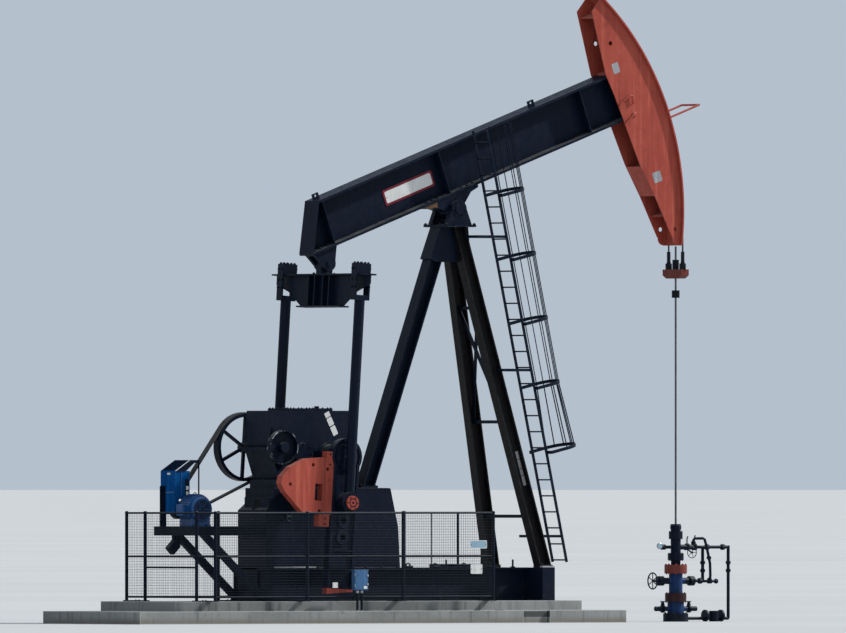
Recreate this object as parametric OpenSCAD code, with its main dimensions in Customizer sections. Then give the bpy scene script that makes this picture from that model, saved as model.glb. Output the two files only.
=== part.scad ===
// Beam pumping unit on a concrete base, with its wellhead, guard fence and caged ladder.
// Millimetres. +X points along the beam towards the well, +Y to the belt side, +Z up.
// The origin is on the ground, below the centre bearing that the beam rocks on.

/* [Beam and horsehead] */
// Height of the centre bearing above the ground
saddle_z = 7660; // [7200:10:8200]
// Tilt of the beam at the top of the stroke, in degrees
beam_tilt = 19.8; // [16:0.1:22]
// Depth of the beam section
beam_depth = 915; // [800:5:1000]
// Width of the beam flanges
beam_flange_w = 430; // [380:5:450]
// Thickness of the beam flanges
beam_flange_t = 45; // [30:1:55]
// Thickness of the beam web
beam_web_t = 24; // [18:1:40]
// Height of the beam's underside above the bearing axis
beam_seat = 270; // [250:5:320]
// Distance from the centre bearing to the tail bearing
tail_reach = 3014; // [2900:2:3100]
// Length of beam behind the tail bearing, at its underside
tail_overhang = 336; // [250:2:420]
// Depth of the horsehead at the beam, from the beam's front end to the face
head_depth = 650; // [560:10:740]
// Radius of the horsehead face about the centre bearing
arc_r = 5150; // [5050:5:5250]
// Angle of the top end of the horsehead face above the beam axis
arc_top = 30.5; // [28:0.5:32]
// Angle of the lower end of the horsehead face below the beam axis
arc_foot = 27; // [25:0.5:29]
// Width of the horsehead face plate
face_w = 595; // [560:5:640]
// Thickness of the horsehead face plate
face_t = 30; // [20:1:40]
// Distance between the outer faces of the horsehead cheeks
cheek_span = 490; // [480:2:520]
// Thickness of each horsehead cheek
cheek_t = 20; // [14:1:24]
// Reach of the guard loop in front of the horsehead
guard_reach = 700; // [500:10:800]
// Radius of the guard loop rod
guard_rod_r = 20; // [14:1:26]
// Radius of the tail bearing pin
tail_pin_r = 60; // [45:1:70]
// Radius of the centre bearing pin
saddle_pin_r = 90; // [70:1:100]
// Radius of the saddle hub
saddle_hub_r = 170; // [150:2:190]
// Width of the saddle hub
saddle_hub_w = 400; // [360:5:420]

/* [Pitmans and equalizer] */
// Length of the pitmans, from tail bearing to wrist pin
pitman_len = 4427; // [4380:1:4480]
// Lean of the pitmans at the top of the stroke, in degrees
pitman_lean = 3.76; // [3:0.02:4.4]
// Distance of each pitman from the centre plane
pitman_y = 1186; // [1180:1:1200]
// Radius of the pitman tube
pitman_r = 96; // [80:1:100]
// Radius of the wrist pin bearing housing
wrist_housing_r = 205; // [180:1:230]
// Radius of the wrist pin cap
wrist_cap_r = 130; // [110:1:150]
// Length of the equalizer
equalizer_len = 3000; // [2900:10:3080]
// Width of the equalizer flanges
equalizer_w = 260; // [230:5:300]
// Depth of the equalizer web at its middle
equalizer_depth = 560; // [480:5:620]
// Distance of the equalizer's top below the tail bearing axis
equalizer_drop = 195; // [190:1:240]
// Thickness of the equalizer plates
equalizer_t = 28; // [20:1:36]

/* [Cranks and counterweights] */
// Radius from crankshaft to wrist pin
crank_throw = 853; // [800:1:900]
// Length of the crank arm below the crankshaft
crank_len = 2440; // [2350:5:2460]
// Half width of the crank arm
crank_half_w = 290; // [270:2:310]
// Radius of the rounded head of the crank
crank_head_r = 335; // [320:1:350]
// Distance of the inner face of each crank from the centre plane
crank_in_y = 900; // [898:1:910]
// Thickness of the crank arm
crank_t = 160; // [150:1:164]
// Depth of the recess in the face of the crank
crank_recess = 35; // [20:1:45]
// Radius of the crankshaft
crankshaft_r = 130; // [110:1:150]
// Thickness of the counterweights
weight_t = 156; // [130:1:160]

/* [Gear reducer and drive] */
// Half width of the gearbox housing
gearbox_half_w = 420; // [400:5:440]
// Height of the gearbox top above the ground
gearbox_top = 3920; // [3880:5:3980]
// Height of the seam between the gearbox halves
gearbox_seam = 3210; // [3180:5:3240]
// Distance of the input shaft behind the crankshaft
input_back = 1086; // [1070:2:1110]
// Height of the input shaft above the crankshaft
input_up = 170; // [160:2:180]
// Radius of the input shaft
input_shaft_r = 55; // [45:1:65]
// Outer radius of the sheave
sheave_r = 625; // [600:1:640]
// Radial depth of the sheave rim
sheave_rim = 62; // [50:1:80]
// Number of sheave spokes
sheave_spokes = 6; // [5:1:6]
// Width of the sheave
sheave_w = 160; // [150:1:164]
// Distance of the belt plane from the centre plane
belt_y = 720; // [716:1:724]
// Thickness of the drive belts
belt_t = 26; // [18:1:30]
// Radius of the motor pulley
pulley_r = 150; // [130:1:165]
// Radius of the brake drum
drum_r = 315; // [290:1:330]
// Distance of the motor shaft behind the centre bearing
motor_x = -5620; // [-5680:5:-5600]
// Height of the motor shaft above the ground
motor_z = 2100; // [2080:5:2130]
// Radius of the motor body
motor_r = 265; // [240:1:270]
// Length of the motor body
motor_len = 430; // [400:5:440]
// Radius of the motor shaft
motor_shaft_r = 30; // [24:1:36]

/* [Posts, skid and base] */
// Width of each post leg across the beam line
leg_y = 200; // [170:5:230]
// Width of each post leg along the beam line
leg_x = 250; // [220:5:270]
// Wall of the post legs
leg_wall = 26; // [16:1:32]
// Distance of the front feet ahead of the centre bearing
front_foot_x = 1530; // [1490:5:1570]
// Distance of each front foot from the centre plane
front_foot_y = 830; // [780:5:860]
// Distance of the rear foot behind the centre bearing
rear_foot_x = 1935; // [1900:5:1980]
// Length of the lower slab behind the centre bearing
slab_back = 8060; // [7900:10:8200]
// Length of the lower slab ahead of the centre bearing
slab_front = 2900; // [2700:10:3100]
// Width of the lower slab
slab_w = 3140; // [3120:10:3300]
// Height of the lower slab
slab_h = 230; // [190:5:280]
// Width of the upper slab
plinth_w = 2420; // [2300:10:2500]
// Height of the upper slab
plinth_h = 180; // [140:5:220]
// Height of the skid beams
skid_h = 610; // [560:5:660]
// Distance of each skid beam from the centre plane
skid_y = 430; // [400:5:460]
// Width of the skid beam flanges
skid_flange_w = 240; // [200:5:280]
// Height of the reducer pedestal above the skid
pedestal_h = 1470; // [1420:5:1500]
// Half width of the reducer pedestal
pedestal_half_w = 450; // [420:5:480]
// Plate thickness of the reducer pedestal
pedestal_t = 24; // [16:1:34]

/* [Ladder] */
// Slope of the ladder from the vertical, in degrees
ladder_lean = 12.8; // [12:0.1:13.4]
// Length of the ladder
ladder_len = 8200; // [7900:10:8300]
// Spacing of the rungs
rung_pitch = 305; // [290:1:330]
// Radius of the rungs
rung_r = 14; // [10:1:18]
// Distance of the far rail from the centre plane
ladder_in_y = 300; // [290:2:320]
// Distance between the rails
ladder_w = 445; // [400:5:460]
// Reach of the safety cage out of the ladder
cage_reach = 680; // [640:5:740]

/* [Fence] */
// Distance of the fence inside the long edges of the lower slab
fence_inset = 140; // [120:5:140]
// Distance of the rear panel behind the centre bearing
fence_back = 6290; // [6250:10:6400]
// Height of the fence's top rail above the ground
fence_top = 2035; // [1980:5:2100]
// Radius of the fence posts
fence_post_r = 30; // [24:1:38]
// Radius of the fence rails
fence_rail_r = 18; // [14:1:24]

/* [Wellhead] */
// Radius of the bridle wires
wire_r = 16; // [12:1:20]
// Distance of each bridle wire from the centre plane
wire_y = 222; // [210:2:240]
// Radius of the polished rod
rod_r = 19; // [15:1:22]
// Height of the carrier bar's underside at the top of the stroke
carrier_z = 6400; // [6350:5:6450]
// Height of the stuffing box's top above the ground
stuffing_top = 1820; // [1760:5:1880]
// Radius of the wellhead bodies
well_r = 155; // [130:1:175]
// Radius of the casing flange
flange_r = 235; // [210:1:250]
// Bore radius of the wellhead
well_bore_r = 60; // [45:1:75]
// Radius of the flow pipes
pipe_r = 30; // [22:1:36]

/* [Hidden] */
$fn = 48;
bore_gap = 0.5;
seat_gap = 0.3;
swing_gap = 10;

navy = [0.09, 0.13, 0.2];
red_orange = [0.62, 0.26, 0.2];
blue = [0.15, 0.36, 0.62];
concrete = [0.58, 0.6, 0.57];
steel = [0.55, 0.56, 0.58];
rubber = [0.06, 0.06, 0.07];

plinth_z = slab_h + plinth_h;
skid_top = plinth_z + skid_h;
pedestal_top = skid_top + pedestal_h;
gearbox_base = 160;

tail_x = -tail_reach * cos(beam_tilt);
tail_z = saddle_z - tail_reach * sin(beam_tilt);
shaft_reach = pitman_len - crank_throw;
crank_x = tail_x - shaft_reach * sin(pitman_lean);
crank_z = tail_z - shaft_reach * cos(pitman_lean);
wrist_z = -pitman_len;
input_x = crank_x - input_back;
input_z = crank_z + input_up;
well_x = arc_r + seat_gap + wire_r;
beam_front = arc_r - head_depth;
fence_y = slab_w / 2 - fence_inset;
crank_out_y = crank_in_y + crank_t;

// Places a child on the beam: its x runs along the beam, with the bearing axis at the origin
module on_beam() { translate([0, 0, saddle_z]) rotate([0, -beam_tilt, 0]) children(); }

// Places a child on the pitmans: the tail bearing is the origin and -z runs to the wrist pins
module on_pitmans() { translate([tail_x, 0, tail_z]) rotate([0, pitman_lean, 0]) children(); }

// Places a child on the cranks: the crankshaft is the origin and -z runs out along the arm
module on_cranks() { translate([crank_x, 0, crank_z]) rotate([0, pitman_lean, 0]) children(); }

// Places a child on the ladder: z runs up the rails and x out to the climber's side
module on_ladder() {
    translate([ladder_foot_x, 0, ladder_foot_z]) rotate([0, -ladder_lean, 0]) children();
}

// A cylinder along Y, centred on y
module y_cylinder(r, y_from, y_to, x = 0, z = 0) {
    translate([x, y_to, z]) rotate([90, 0, 0]) cylinder(r = r, h = y_to - y_from);
}

// A flat outline in x and z, thickened along Y
module y_plate(y_from, y_to) {
    translate([0, y_to, 0]) rotate([90, 0, 0]) linear_extrude(y_to - y_from) children();
}

// A box from its two opposite corners
module block(a, b) { translate(a) cube(b - a); }

// A round bar from p to q
module rod(p, q, r) {
    d = q - p;
    translate(p) rotate([0, acos(d[2] / norm(d)), atan2(d[1], d[0])]) cylinder(r = r, h = norm(d));
}

// A rectangular bar from p to q, w along the beam line and t across it
module bar(p, q, w, t) {
    d = q - p;
    translate(p) rotate([-atan2(d[1], d[2]), 0, 0])
        rotate([0, atan2(d[0], norm([d[1], d[2]])), 0])
        translate([-w / 2, -t / 2, 0]) cube([w, t, norm(d)]);
}

// An I-section along X, standing on z = 0
module i_beam_x(len, h, w, tf, tw) {
    rotate([90, 0, 90]) linear_extrude(len) {
        translate([-w / 2, 0]) square([w, tf]);
        translate([-w / 2, h - tf]) square([w, tf]);
        translate([-tw / 2, 0]) square([tw, h]);
    }
}

// CONCRETE BASE

slab_joint_x = 1154;
slab_joint_gap = 20;
slab_recess_x = 567;
slab_recess = 60;
plinth_back = 7020;
plinth_front = 2140;

module foundation_slab() {
    color(concrete) {
        difference() {
            block([-slab_back, -slab_w / 2, 0], [slab_joint_x - slab_joint_gap, slab_w / 2, slab_h]);
            for (s = [-1, 1])
                translate([slab_recess_x, s * slab_w / 2 - slab_recess, -1])
                    cube([slab_joint_x - slab_recess_x, 2 * slab_recess, slab_h + 2]);
        }
        block([slab_joint_x, -slab_w / 2, 0], [slab_front, slab_w / 2, slab_h]);
    }
}

module foundation_plinth() {
    color(concrete)
        block([-plinth_back, -plinth_w / 2, slab_h], [plinth_front, plinth_w / 2, plinth_z]);
}

// SKID

skid_back = 4575;
skid_front = front_foot_x + 140;
outrigger_w = 280;
outrigger_reach = front_foot_y + 180;
skid_web = 22;
skid_flange_t = 32;

module skid_beams() {
    color(navy)
        for (s = [-1, 1])
            translate([-skid_back, s * skid_y, plinth_z])
                i_beam_x(skid_front - outrigger_w + skid_back, skid_h, skid_flange_w,
                    skid_flange_t, skid_web);
}

cross_pitch = 1150;
cross_w = 160;
cross_drop = 40;
cross_front_x = -150;

module skid_cross_members() {
    inner = skid_y - skid_flange_w / 2;
    color(navy) {
        block([skid_front - outrigger_w, -outrigger_reach, plinth_z],
            [skid_front, outrigger_reach, skid_top]);
        for (x = concat([for (i = [0 : 3]) i * cross_pitch - skid_back], [cross_front_x]))
            block([x, -inner, plinth_z], [x + cross_w, inner, skid_top - cross_drop]);
    }
}

// REDUCER PEDESTAL

pedestal_back = 4467;
pedestal_front = 1450;
pedestal_step = 160;
step_low = 400;
step_high = 275;
front_knee = 720;
front_lean_low = 40;
front_lean_high = 215;
hole_r = 95;
hole_drop = 305;

// The side outline of the reducer pedestal, t inside its plates, standing on z = foot
module pedestal_outline(t, foot) {
    polygon([[-pedestal_back + t, foot], [-pedestal_front - t, foot],
        [-pedestal_front - front_lean_low - t, pedestal_top - front_knee],
        [-pedestal_front - front_lean_high - t, pedestal_top - t],
        [-pedestal_back + pedestal_step + t, pedestal_top - t],
        [-pedestal_back + pedestal_step + t, pedestal_top - step_high],
        [-pedestal_back + t, pedestal_top - step_low]]);
}

module reducer_pedestal() {
    inside = pedestal_half_w - pedestal_t;
    color(navy) difference() {
        y_plate(-pedestal_half_w, pedestal_half_w) pedestal_outline(0, skid_top);
        y_plate(-inside, inside) pedestal_outline(pedestal_t, skid_top - 1);
        translate([-pedestal_back, 0, pedestal_top - hole_drop]) rotate([0, 90, 0])
            cylinder(r = hole_r, h = pedestal_step + 2 * pedestal_t);
    }
}

// GEAR REDUCER

gearbox_back_reach = 1313;
gearbox_front_reach = 560;
gearbox_back = crank_x - gearbox_back_reach;
gearbox_front = crank_x + gearbox_front_reach;
gearbox_top_in = 90;
gearbox_foot_in = 236;
gearbox_foot_back = gearbox_back + gearbox_foot_in;
gearbox_toe_in = 160;
belly_up = 120;
toe_drop = 90;
foot_reach = 60;
seam_lip = 25;
seam_side = 30;
seam_half = 35;
mid_shaft_up = 60;
bearing_cap_r = 250;
bearing_cap_w = 40;
cover_h = 45;
cover_side = 60;
cover_back = 520;
cover_front = 400;
breather_x = 1367;
breather_r = 45;
breather_h = 40;

module gearbox_housing() {
    cap_y = gearbox_half_w + bearing_cap_w;
    color(navy) difference() {
        union() {
            y_plate(-gearbox_half_w, gearbox_half_w)
                polygon([[gearbox_foot_back, pedestal_top + gearbox_base],
                    [gearbox_back, gearbox_seam + belly_up],
                    [gearbox_back + gearbox_top_in, gearbox_top],
                    [gearbox_front, gearbox_top], [gearbox_front, gearbox_seam - toe_drop],
                    [gearbox_front - gearbox_toe_in, pedestal_top + gearbox_base]]);
            block([gearbox_foot_back - foot_reach, -pedestal_half_w, pedestal_top],
                [gearbox_front - foot_reach, pedestal_half_w, pedestal_top + gearbox_base]);
            block([gearbox_back - seam_lip, -gearbox_half_w - seam_side, gearbox_seam - seam_half],
                [gearbox_front + seam_lip, gearbox_half_w + seam_side, gearbox_seam + seam_half]);
            y_cylinder(bearing_cap_r, -cap_y, cap_y, crank_x, crank_z);
            y_cylinder(bearing_cap_r * 0.8, -cap_y, cap_y, (crank_x + input_x) / 2,
                crank_z + mid_shaft_up);
            y_cylinder(bearing_cap_r * 0.7, -cap_y, cap_y, input_x, input_z);
        }
        y_cylinder(crankshaft_r + bore_gap, -cap_y - 1, cap_y + 1, crank_x, crank_z);
        y_cylinder(input_shaft_r + bore_gap, -cap_y - 1, cap_y + 1, input_x, input_z);
    }
}

module gearbox_cover() {
    color(navy) {
        block([gearbox_back + cover_back, -gearbox_half_w + cover_side, gearbox_top],
            [gearbox_front - cover_front, gearbox_half_w - cover_side, gearbox_top + cover_h]);
        translate([gearbox_back + breather_x, 0, gearbox_top + cover_h])
            cylinder(r = breather_r, h = breather_h);
    }
}

// SAMSON POST

post_top = saddle_z - 290;
head_plate_t = 40;
front_top = [60, 135, post_top - head_plate_t];
rear_top = [-175, 0, post_top - head_plate_t];
front_foot_z = skid_top;
foot_t = 50;
rear_leg_extra = 60;

function front_leg_at(z) = [
    front_top[0] + (front_foot_x - front_top[0]) * (front_top[2] - z) / (front_top[2] - front_foot_z),
    front_top[1] + (front_foot_y - front_top[1]) * (front_top[2] - z) / (front_top[2] - front_foot_z),
    z];
function rear_leg_at(z) = [
    rear_top[0] + (-rear_foot_x - rear_top[0]) * (rear_top[2] - z) / (rear_top[2] - pedestal_top),
    0, z];

// A wide-flange leg from p to q, cut level at the ends
module leg(p, q, w, t, z_low, z_high) {
    over = 1.06;
    far_p = q + (p - q) * over;
    far_q = p + (q - p) * over;
    intersection() {
        difference() {
            bar(far_p, far_q, w, t);
            leg_hollow(far_p, far_q, w, t);
        }
        translate([-4000, -2000, z_low]) cube([8000, 4000, z_high - z_low]);
    }
}

// The two channels that make a leg's section an H
module leg_hollow(p, q, w, t) {
    d = q - p;
    depth = (t - leg_wall) / 2;
    translate(p) rotate([-atan2(d[1], d[2]), 0, 0]) rotate([0, atan2(d[0], norm([d[1], d[2]])), 0])
        for (s = [-1, 1])
            translate([-w / 2 + leg_wall, s > 0 ? leg_wall / 2 : -t / 2 - 1, -1])
                cube([w - 2 * leg_wall, depth + 1, norm(d) + 2]);
}

module front_leg(s) {
    low = front_leg_at(front_foot_z);
    high = front_top;
    color(navy) {
        leg([low[0], s * low[1], low[2]], [high[0], s * high[1], high[2]], leg_x, leg_y,
            front_foot_z + foot_t, high[2]);
        translate([low[0] - leg_x / 2 - 10, s * low[1] - leg_y / 2 - 20, front_foot_z])
            cube([leg_x + 20, leg_y + 40, foot_t]);
    }
}

module front_leg_near() { front_leg(-1); }
module front_leg_far() { front_leg(1); }

// The room that a front leg takes, a seat gap larger, for cutting what fits against it
module front_leg_room(s) {
    low = front_leg_at(front_foot_z);
    high = front_leg_at(post_top + foot_t);
    bar([low[0], s * low[1], low[2]], [high[0], s * high[1], high[2]], leg_x + 2 * seat_gap,
        leg_y + 2 * seat_gap);
}

module rear_leg() {
    low = rear_leg_at(pedestal_top);
    color(navy) {
        difference() {
            leg(low, rear_top, leg_x, leg_y + rear_leg_extra, pedestal_top + foot_t, rear_top[2]);
            for (s = [-1, 1]) front_leg_room(s);
        }
        translate([low[0] - leg_x / 2 - 60, -leg_y / 2 - 70, pedestal_top])
            cube([leg_x + 120, leg_y + 140, foot_t]);
    }
}

// Bracing between the front legs: a long X and three struts
brace_top_z = 5830;
brace_low_z = 3720;
strut_z = 1970;
brace_w = 90;
brace_t = 14;

module leg_bracing() {
    to_web = leg_wall / 2 - 2;
    a = front_leg_at(brace_top_z);
    b = front_leg_at(brace_low_z);
    c = front_leg_at(strut_z);
    color(navy) difference() {
        union() {
            for (s = [-1, 1])
                bar([b[0] + s * brace_t / 2, s * (b[1] - to_web), b[2]],
                    [a[0] + s * brace_t / 2, -s * (a[1] - to_web), a[2]], brace_t, brace_w);
            for (p = [a, b, c])
                block([p[0] - 40, -p[1] + to_web, p[2] - 30], [p[0] + 40, p[1] - to_web, p[2] + 30]);
        }
        for (s = [-1, 1]) front_leg(s);
    }
}

// Head of the post: the gusset casting between the legs, its top plate and the bearing stand
gusset_low = 6680;
stand_in_y = saddle_hub_w / 2 + seat_gap;
stand_t = 110;
stand_r = 165;

module post_head() {
    color(navy) {
        difference() {
            y_plate(-165, 165)
                polygon([[-330, post_top - head_plate_t], [300, post_top - head_plate_t],
                    [360, gusset_low + 60], [240, gusset_low], [-420, gusset_low],
                    [-560, gusset_low + 60]]);
            for (s = [-1, 1]) front_leg_room(s);
            bar(rear_leg_at(pedestal_top), rear_leg_at(post_top + foot_t), leg_x + 2 * seat_gap,
                leg_y + rear_leg_extra + 2 * seat_gap);
        }
        block([-345, -360, post_top - head_plate_t], [345, 360, post_top]);
        for (s = [-1, 1]) difference() {
            y_plate(s > 0 ? stand_in_y : -stand_in_y - stand_t, s > 0 ? stand_in_y + stand_t : -stand_in_y)
                union() {
                    translate([0, saddle_z]) circle(r = stand_r);
                    polygon([[-280, post_top], [280, post_top], [stand_r, saddle_z], [-stand_r, saddle_z]]);
                }
            y_cylinder(saddle_pin_r + bore_gap, -500, 500, 0, saddle_z);
        }
    }
}

// LADDER AND SAFETY CAGE

ladder_foot_x = 2130;
ladder_foot_z = 1120;
rail_w = 50;
rail_t = 22;
rung_low = 40;
rungs = floor((ladder_len - rung_low - rung_r) / rung_pitch);
bracket_steps = [480, 3560, 6030];
ladder_mid_y = ladder_in_y + ladder_w / 2;
bracket_t = 45;

module ladder() {
    color(navy) {
        on_ladder() {
            for (y = [ladder_in_y, ladder_in_y + ladder_w])
                translate([-rail_w / 2, -y - rail_t / 2, 0]) cube([rail_w, rail_t, ladder_len]);
            for (i = [0 : rungs])
                y_cylinder(rung_r, -ladder_in_y - ladder_w, -ladder_in_y, 0, rung_low + i * rung_pitch);
        }
        for (step = bracket_steps) ladder_bracket(ladder_foot_z + step);
    }
}

// Stand-off arms from the near front leg to the ladder rails at one height
module ladder_bracket(z) {
    rail_x = ladder_foot_x - (z - ladder_foot_z) * tan(ladder_lean) - rail_w / 2;
    leg = front_leg_at(z);
    plate_x = leg[0] + leg_x / 2 + 50;
    difference() {
        union() {
            block([leg[0], -ladder_in_y - ladder_w, z - 25], [plate_x, -ladder_in_y + bracket_t, z + 25]);
            for (y = [-ladder_in_y - ladder_w, -ladder_in_y])
                block([leg[0], y, z - 25], [rail_x, y + bracket_t, z + 25]);
        }
        front_leg_room(-1);
    }
}

cage_low = 2050;
cage_pitch = 4 * rung_pitch;
cage_hoop_count = 5;
hoop_t = 10;
hoop_h = 60;
hoop_r = 282;
hoop_flare = 80;
cage_bar_r = 9;
cage_bar_count = 7;
splice = 2;
splice_drop = 40;

// One hoop of the cage: straight sides and a round back
module hoop(flare) {
    r = hoop_r + flare;
    reach = cage_reach + flare;
    difference() {
        union() {
            translate([reach - r, -ladder_mid_y, 0]) cylinder(r = r, h = hoop_h);
            block([rail_w / 2, -ladder_mid_y - r, 0], [reach - r, -ladder_mid_y + r, hoop_h]);
        }
        translate([reach - r, -ladder_mid_y, -1]) cylinder(r = r - hoop_t, h = hoop_h + 2);
        block([rail_w / 2 + hoop_t, -ladder_mid_y - r + hoop_t, -1],
            [reach - r, -ladder_mid_y + r - hoop_t, hoop_h + 2]);
        block([rail_w / 2 - 1, -ladder_in_y - ladder_w, -1],
            [rail_w / 2 + hoop_t + 1, -ladder_in_y, hoop_h + 2]);
    }
}

module cage_hoops() {
    color(navy) on_ladder()
        for (i = [0 : cage_hoop_count - 1])
            translate([0, 0, cage_low + i * cage_pitch]) hoop(i == 0 ? hoop_flare : 0);
}

// The cage's bars run straight inside the hoops, and spread below the second one to the flared hoop
module cage_bars() {
    reach = hoop_r - hoop_t - cage_bar_r - seat_gap;
    knee = cage_low + cage_pitch - splice_drop;
    middle = [cage_reach - hoop_r, -ladder_mid_y, 0];
    color(navy) on_ladder()
        for (k = [0 : cage_bar_count - 1]) {
            a = -90 + 180 * k / (cage_bar_count - 1);
            out = [cos(a), sin(a), 0];
            translate(middle + reach * out + [0, 0, knee])
                cylinder(r = cage_bar_r, h = ladder_len - knee, $fn = 24);
            rod(middle + (reach + hoop_flare - splice) * out + [0, 0, cage_low],
                middle + reach * out + [0, 0, knee + 2 * cage_bar_r], cage_bar_r + splice);
        }
}

// MOTOR, ITS FRAME, BELTS AND GUARD

motor_far_y = 400;
frame_top = motor_z - motor_r - 45;
frame_h = 170;
frame_back = motor_x - 380;
frame_y = 430;
frame_beam_w = 120;
frame_near_y = -frame_y - frame_beam_w / 2;
frame_far_y = 880;
brace_back = 170;
brace_foot_z = 505;
brace_bar_w = 130;
brace_bar_t = 100;
motor_rail_w = 80;
motor_rail_h = 60;
gusset_back = 50;
gusset_len = 150;
gusset_t = 70;
gusset_drop = 220;
gusset_low_z = frame_top - frame_h - gusset_drop;
frame_box = [200, 130, 170];

// One brace, from the frame's underside down to the end of a skid beam
module frame_brace(y) {
    head = [frame_back + brace_back, y, frame_top - frame_h];
    foot = [-skid_back, y, brace_foot_z];
    past = brace_bar_w * (foot - head) / norm(foot - head);
    difference() {
        bar(head - past, foot + past, brace_bar_w, brace_bar_t);
        block([frame_back, y - brace_bar_t, frame_top - frame_h],
            [-skid_back, y + brace_bar_t, frame_top]);
        block([-skid_back, y - brace_bar_t, plinth_z - skid_h],
            [skid_h - skid_back, y + brace_bar_t, skid_top]);
    }
}

module motor_frame() {
    front = -pedestal_back;
    color(navy) {
        for (y = [-frame_y, frame_y])
            translate([frame_back, y, frame_top - frame_h])
                i_beam_x(front - frame_back, frame_h, frame_beam_w, 16, 14);
        block([frame_back - 60, frame_near_y, frame_top - frame_h],
            [frame_back, frame_far_y, frame_top]);
        block([frame_back, frame_far_y - 100, frame_top - frame_h],
            [motor_x + 320, frame_far_y, frame_top]);
        block([motor_x + 220, 450, frame_top - frame_h], [motor_x + 320, frame_far_y - 100, frame_top]);
        for (x = [motor_x - 2 * motor_rail_w, motor_x + motor_rail_w])
            block([x, -frame_y, frame_top - motor_rail_h], [x + motor_rail_w, frame_y, frame_top]);
        for (y = [-frame_y, frame_y]) frame_brace(y);
        block([frame_back + gusset_back, frame_y - gusset_t / 2, gusset_low_z],
            [frame_back + gusset_back + gusset_len, frame_y + gusset_t / 2, frame_top - frame_h]);
        translate([frame_back + gusset_back, frame_y, gusset_low_z]) rotate([0, -45, 0])
            translate(-frame_box / 2) cube(frame_box);
    }
}

module motor() {
    near = motor_far_y - motor_len;
    color(blue) difference() {
        union() {
            y_cylinder(motor_r, near + 60, motor_far_y - 50, motor_x, motor_z);
            y_cylinder(motor_r * 0.86, near, motor_far_y, motor_x, motor_z);
            block([motor_x - 200, near + 20, frame_top], [motor_x + 200, motor_far_y - 10, motor_z - 150]);
            block([motor_x - motor_r - 70, near + 130, motor_z - 110],
                [motor_x - 180, motor_far_y - 110, motor_z + 90]);
        }
        y_cylinder(motor_shaft_r + bore_gap, motor_far_y - 120, motor_far_y + 1, motor_x, motor_z);
    }
}

belt_half_w = 66;
guard_in_y = 430;
guard_out_y = 880;
guard_t = 5;

module belt_guard() {
    back = motor_x - 290;
    front = motor_x + 50;
    low = motor_z - 90;
    top = motor_z + 710;
    color(blue) difference() {
        block([back, guard_in_y, low], [front, guard_out_y, top]);
        block([back + guard_t, guard_in_y + guard_t, low - 1], [front + 1, guard_out_y - guard_t, top - guard_t]);
        block([motor_x - 190, guard_in_y - 1, low - 1], [front + 1, guard_in_y + guard_t + 1, motor_z + 190]);
    }
    color(navy) {
        y_plate(guard_in_y, guard_out_y)
            polygon([[back, top], [back + 320, top + 200], [back + 560, top + 200],
                [back + 560, top + 200 - guard_t], [back + 320, top + 200 - guard_t], [back + 8, top]]);
        block([back + 540, guard_in_y, motor_z + 260], [back + 560, guard_in_y + 20, top + 200 - guard_t]);
        block([motor_x + 50, guard_in_y, motor_z + 260], [back + 540, guard_in_y + 20, motor_z + 285]);
        block([back - 20, guard_out_y - 160, frame_top], [back, guard_out_y, motor_z + 430]);
        block([back, guard_out_y - 100, frame_top], [back + 60, guard_out_y, low]);
    }
}

// The outline of a belt round the sheave and the motor pulley, offset outwards by t
module belt_loop(t) {
    r1 = sheave_r + t;
    r2 = pulley_r + t;
    run = [motor_x - input_x, motor_z - input_z];
    along = atan2(run[1], run[0]);
    open = acos((r1 - r2) / norm(run));
    translate([input_x, input_z]) circle(r = r1, $fn = 96);
    translate([motor_x, motor_z]) circle(r = r2);
    polygon([for (k = [[1, 1], [2, 1], [2, -1], [1, -1]])
        let (r = k[0] == 1 ? r1 : r2, a = along + k[1] * open)
        [(k[0] == 1 ? input_x : motor_x) + r * cos(a), (k[0] == 1 ? input_z : motor_z) + r * sin(a)]]);
}

module drive_belts() {
    color(rubber) y_plate(belt_y - belt_half_w, belt_y + belt_half_w) difference() {
        belt_loop(seat_gap + belt_t);
        belt_loop(seat_gap);
    }
}

module sheave() {
    half = sheave_w / 2;
    inner = sheave_r - sheave_rim;
    color(navy) {
        translate([input_x, belt_y, input_z]) rotate([90, 0, 0]) {
            difference() {
                translate([0, 0, -half]) cylinder(r = sheave_r, h = sheave_w, $fn = 96);
                translate([0, 0, -half - 1]) cylinder(r = inner, h = sheave_w + 2, $fn = 96);
            }
            for (k = [0 : sheave_spokes - 1])
                rotate([0, 0, 26 + k * 360 / sheave_spokes])
                    translate([60, -28, -25]) cube([inner - 50, 56, 50]);
            translate([0, 0, -half + 10]) cylinder(r = 95, h = sheave_w - 20);
        }
        y_cylinder(input_shaft_r, -gearbox_half_w - bearing_cap_w - 20, belt_y, input_x, input_z);
    }
}

module brake_drum() {
    far = -gearbox_half_w - bearing_cap_w - 20;
    color(navy) difference() {
        union() {
            y_cylinder(drum_r, far - 110, far, input_x, input_z);
            y_cylinder(100, far - 135, far - 110, input_x, input_z);
        }
        y_cylinder(drum_r - 22, far - 111, far - 30, input_x, input_z);
    }
    color(navy) y_cylinder(90, far - 150, far - 30, input_x, input_z);
}

module motor_pulley() {
    half = sheave_w / 2;
    color(navy) {
        y_cylinder(pulley_r, belt_y - half, belt_y + half, motor_x, motor_z);
        y_cylinder(motor_shaft_r, motor_far_y - 110, belt_y + half + 20, motor_x, motor_z);
    }
}

// FENCE

mid_rail_drop = 800;
low_rail_up = 80;
post_over = 20;
post_foot_w = 120;
post_foot_t = 20;
post_arm_in = 200;
end_post_in = 600;
gate_rail_drop = 200;
post_steps = [0, 2060, 4220, 6260];
far_post_step = 8040;
fence_rails = [fence_top, fence_top - mid_rail_drop, plinth_z + low_rail_up];
near_posts = [for (step = post_steps) step - fence_back];
far_posts = concat(near_posts, [far_post_step - fence_back]);
end_posts = [end_post_in - fence_y, fence_y - end_post_in];

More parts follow.
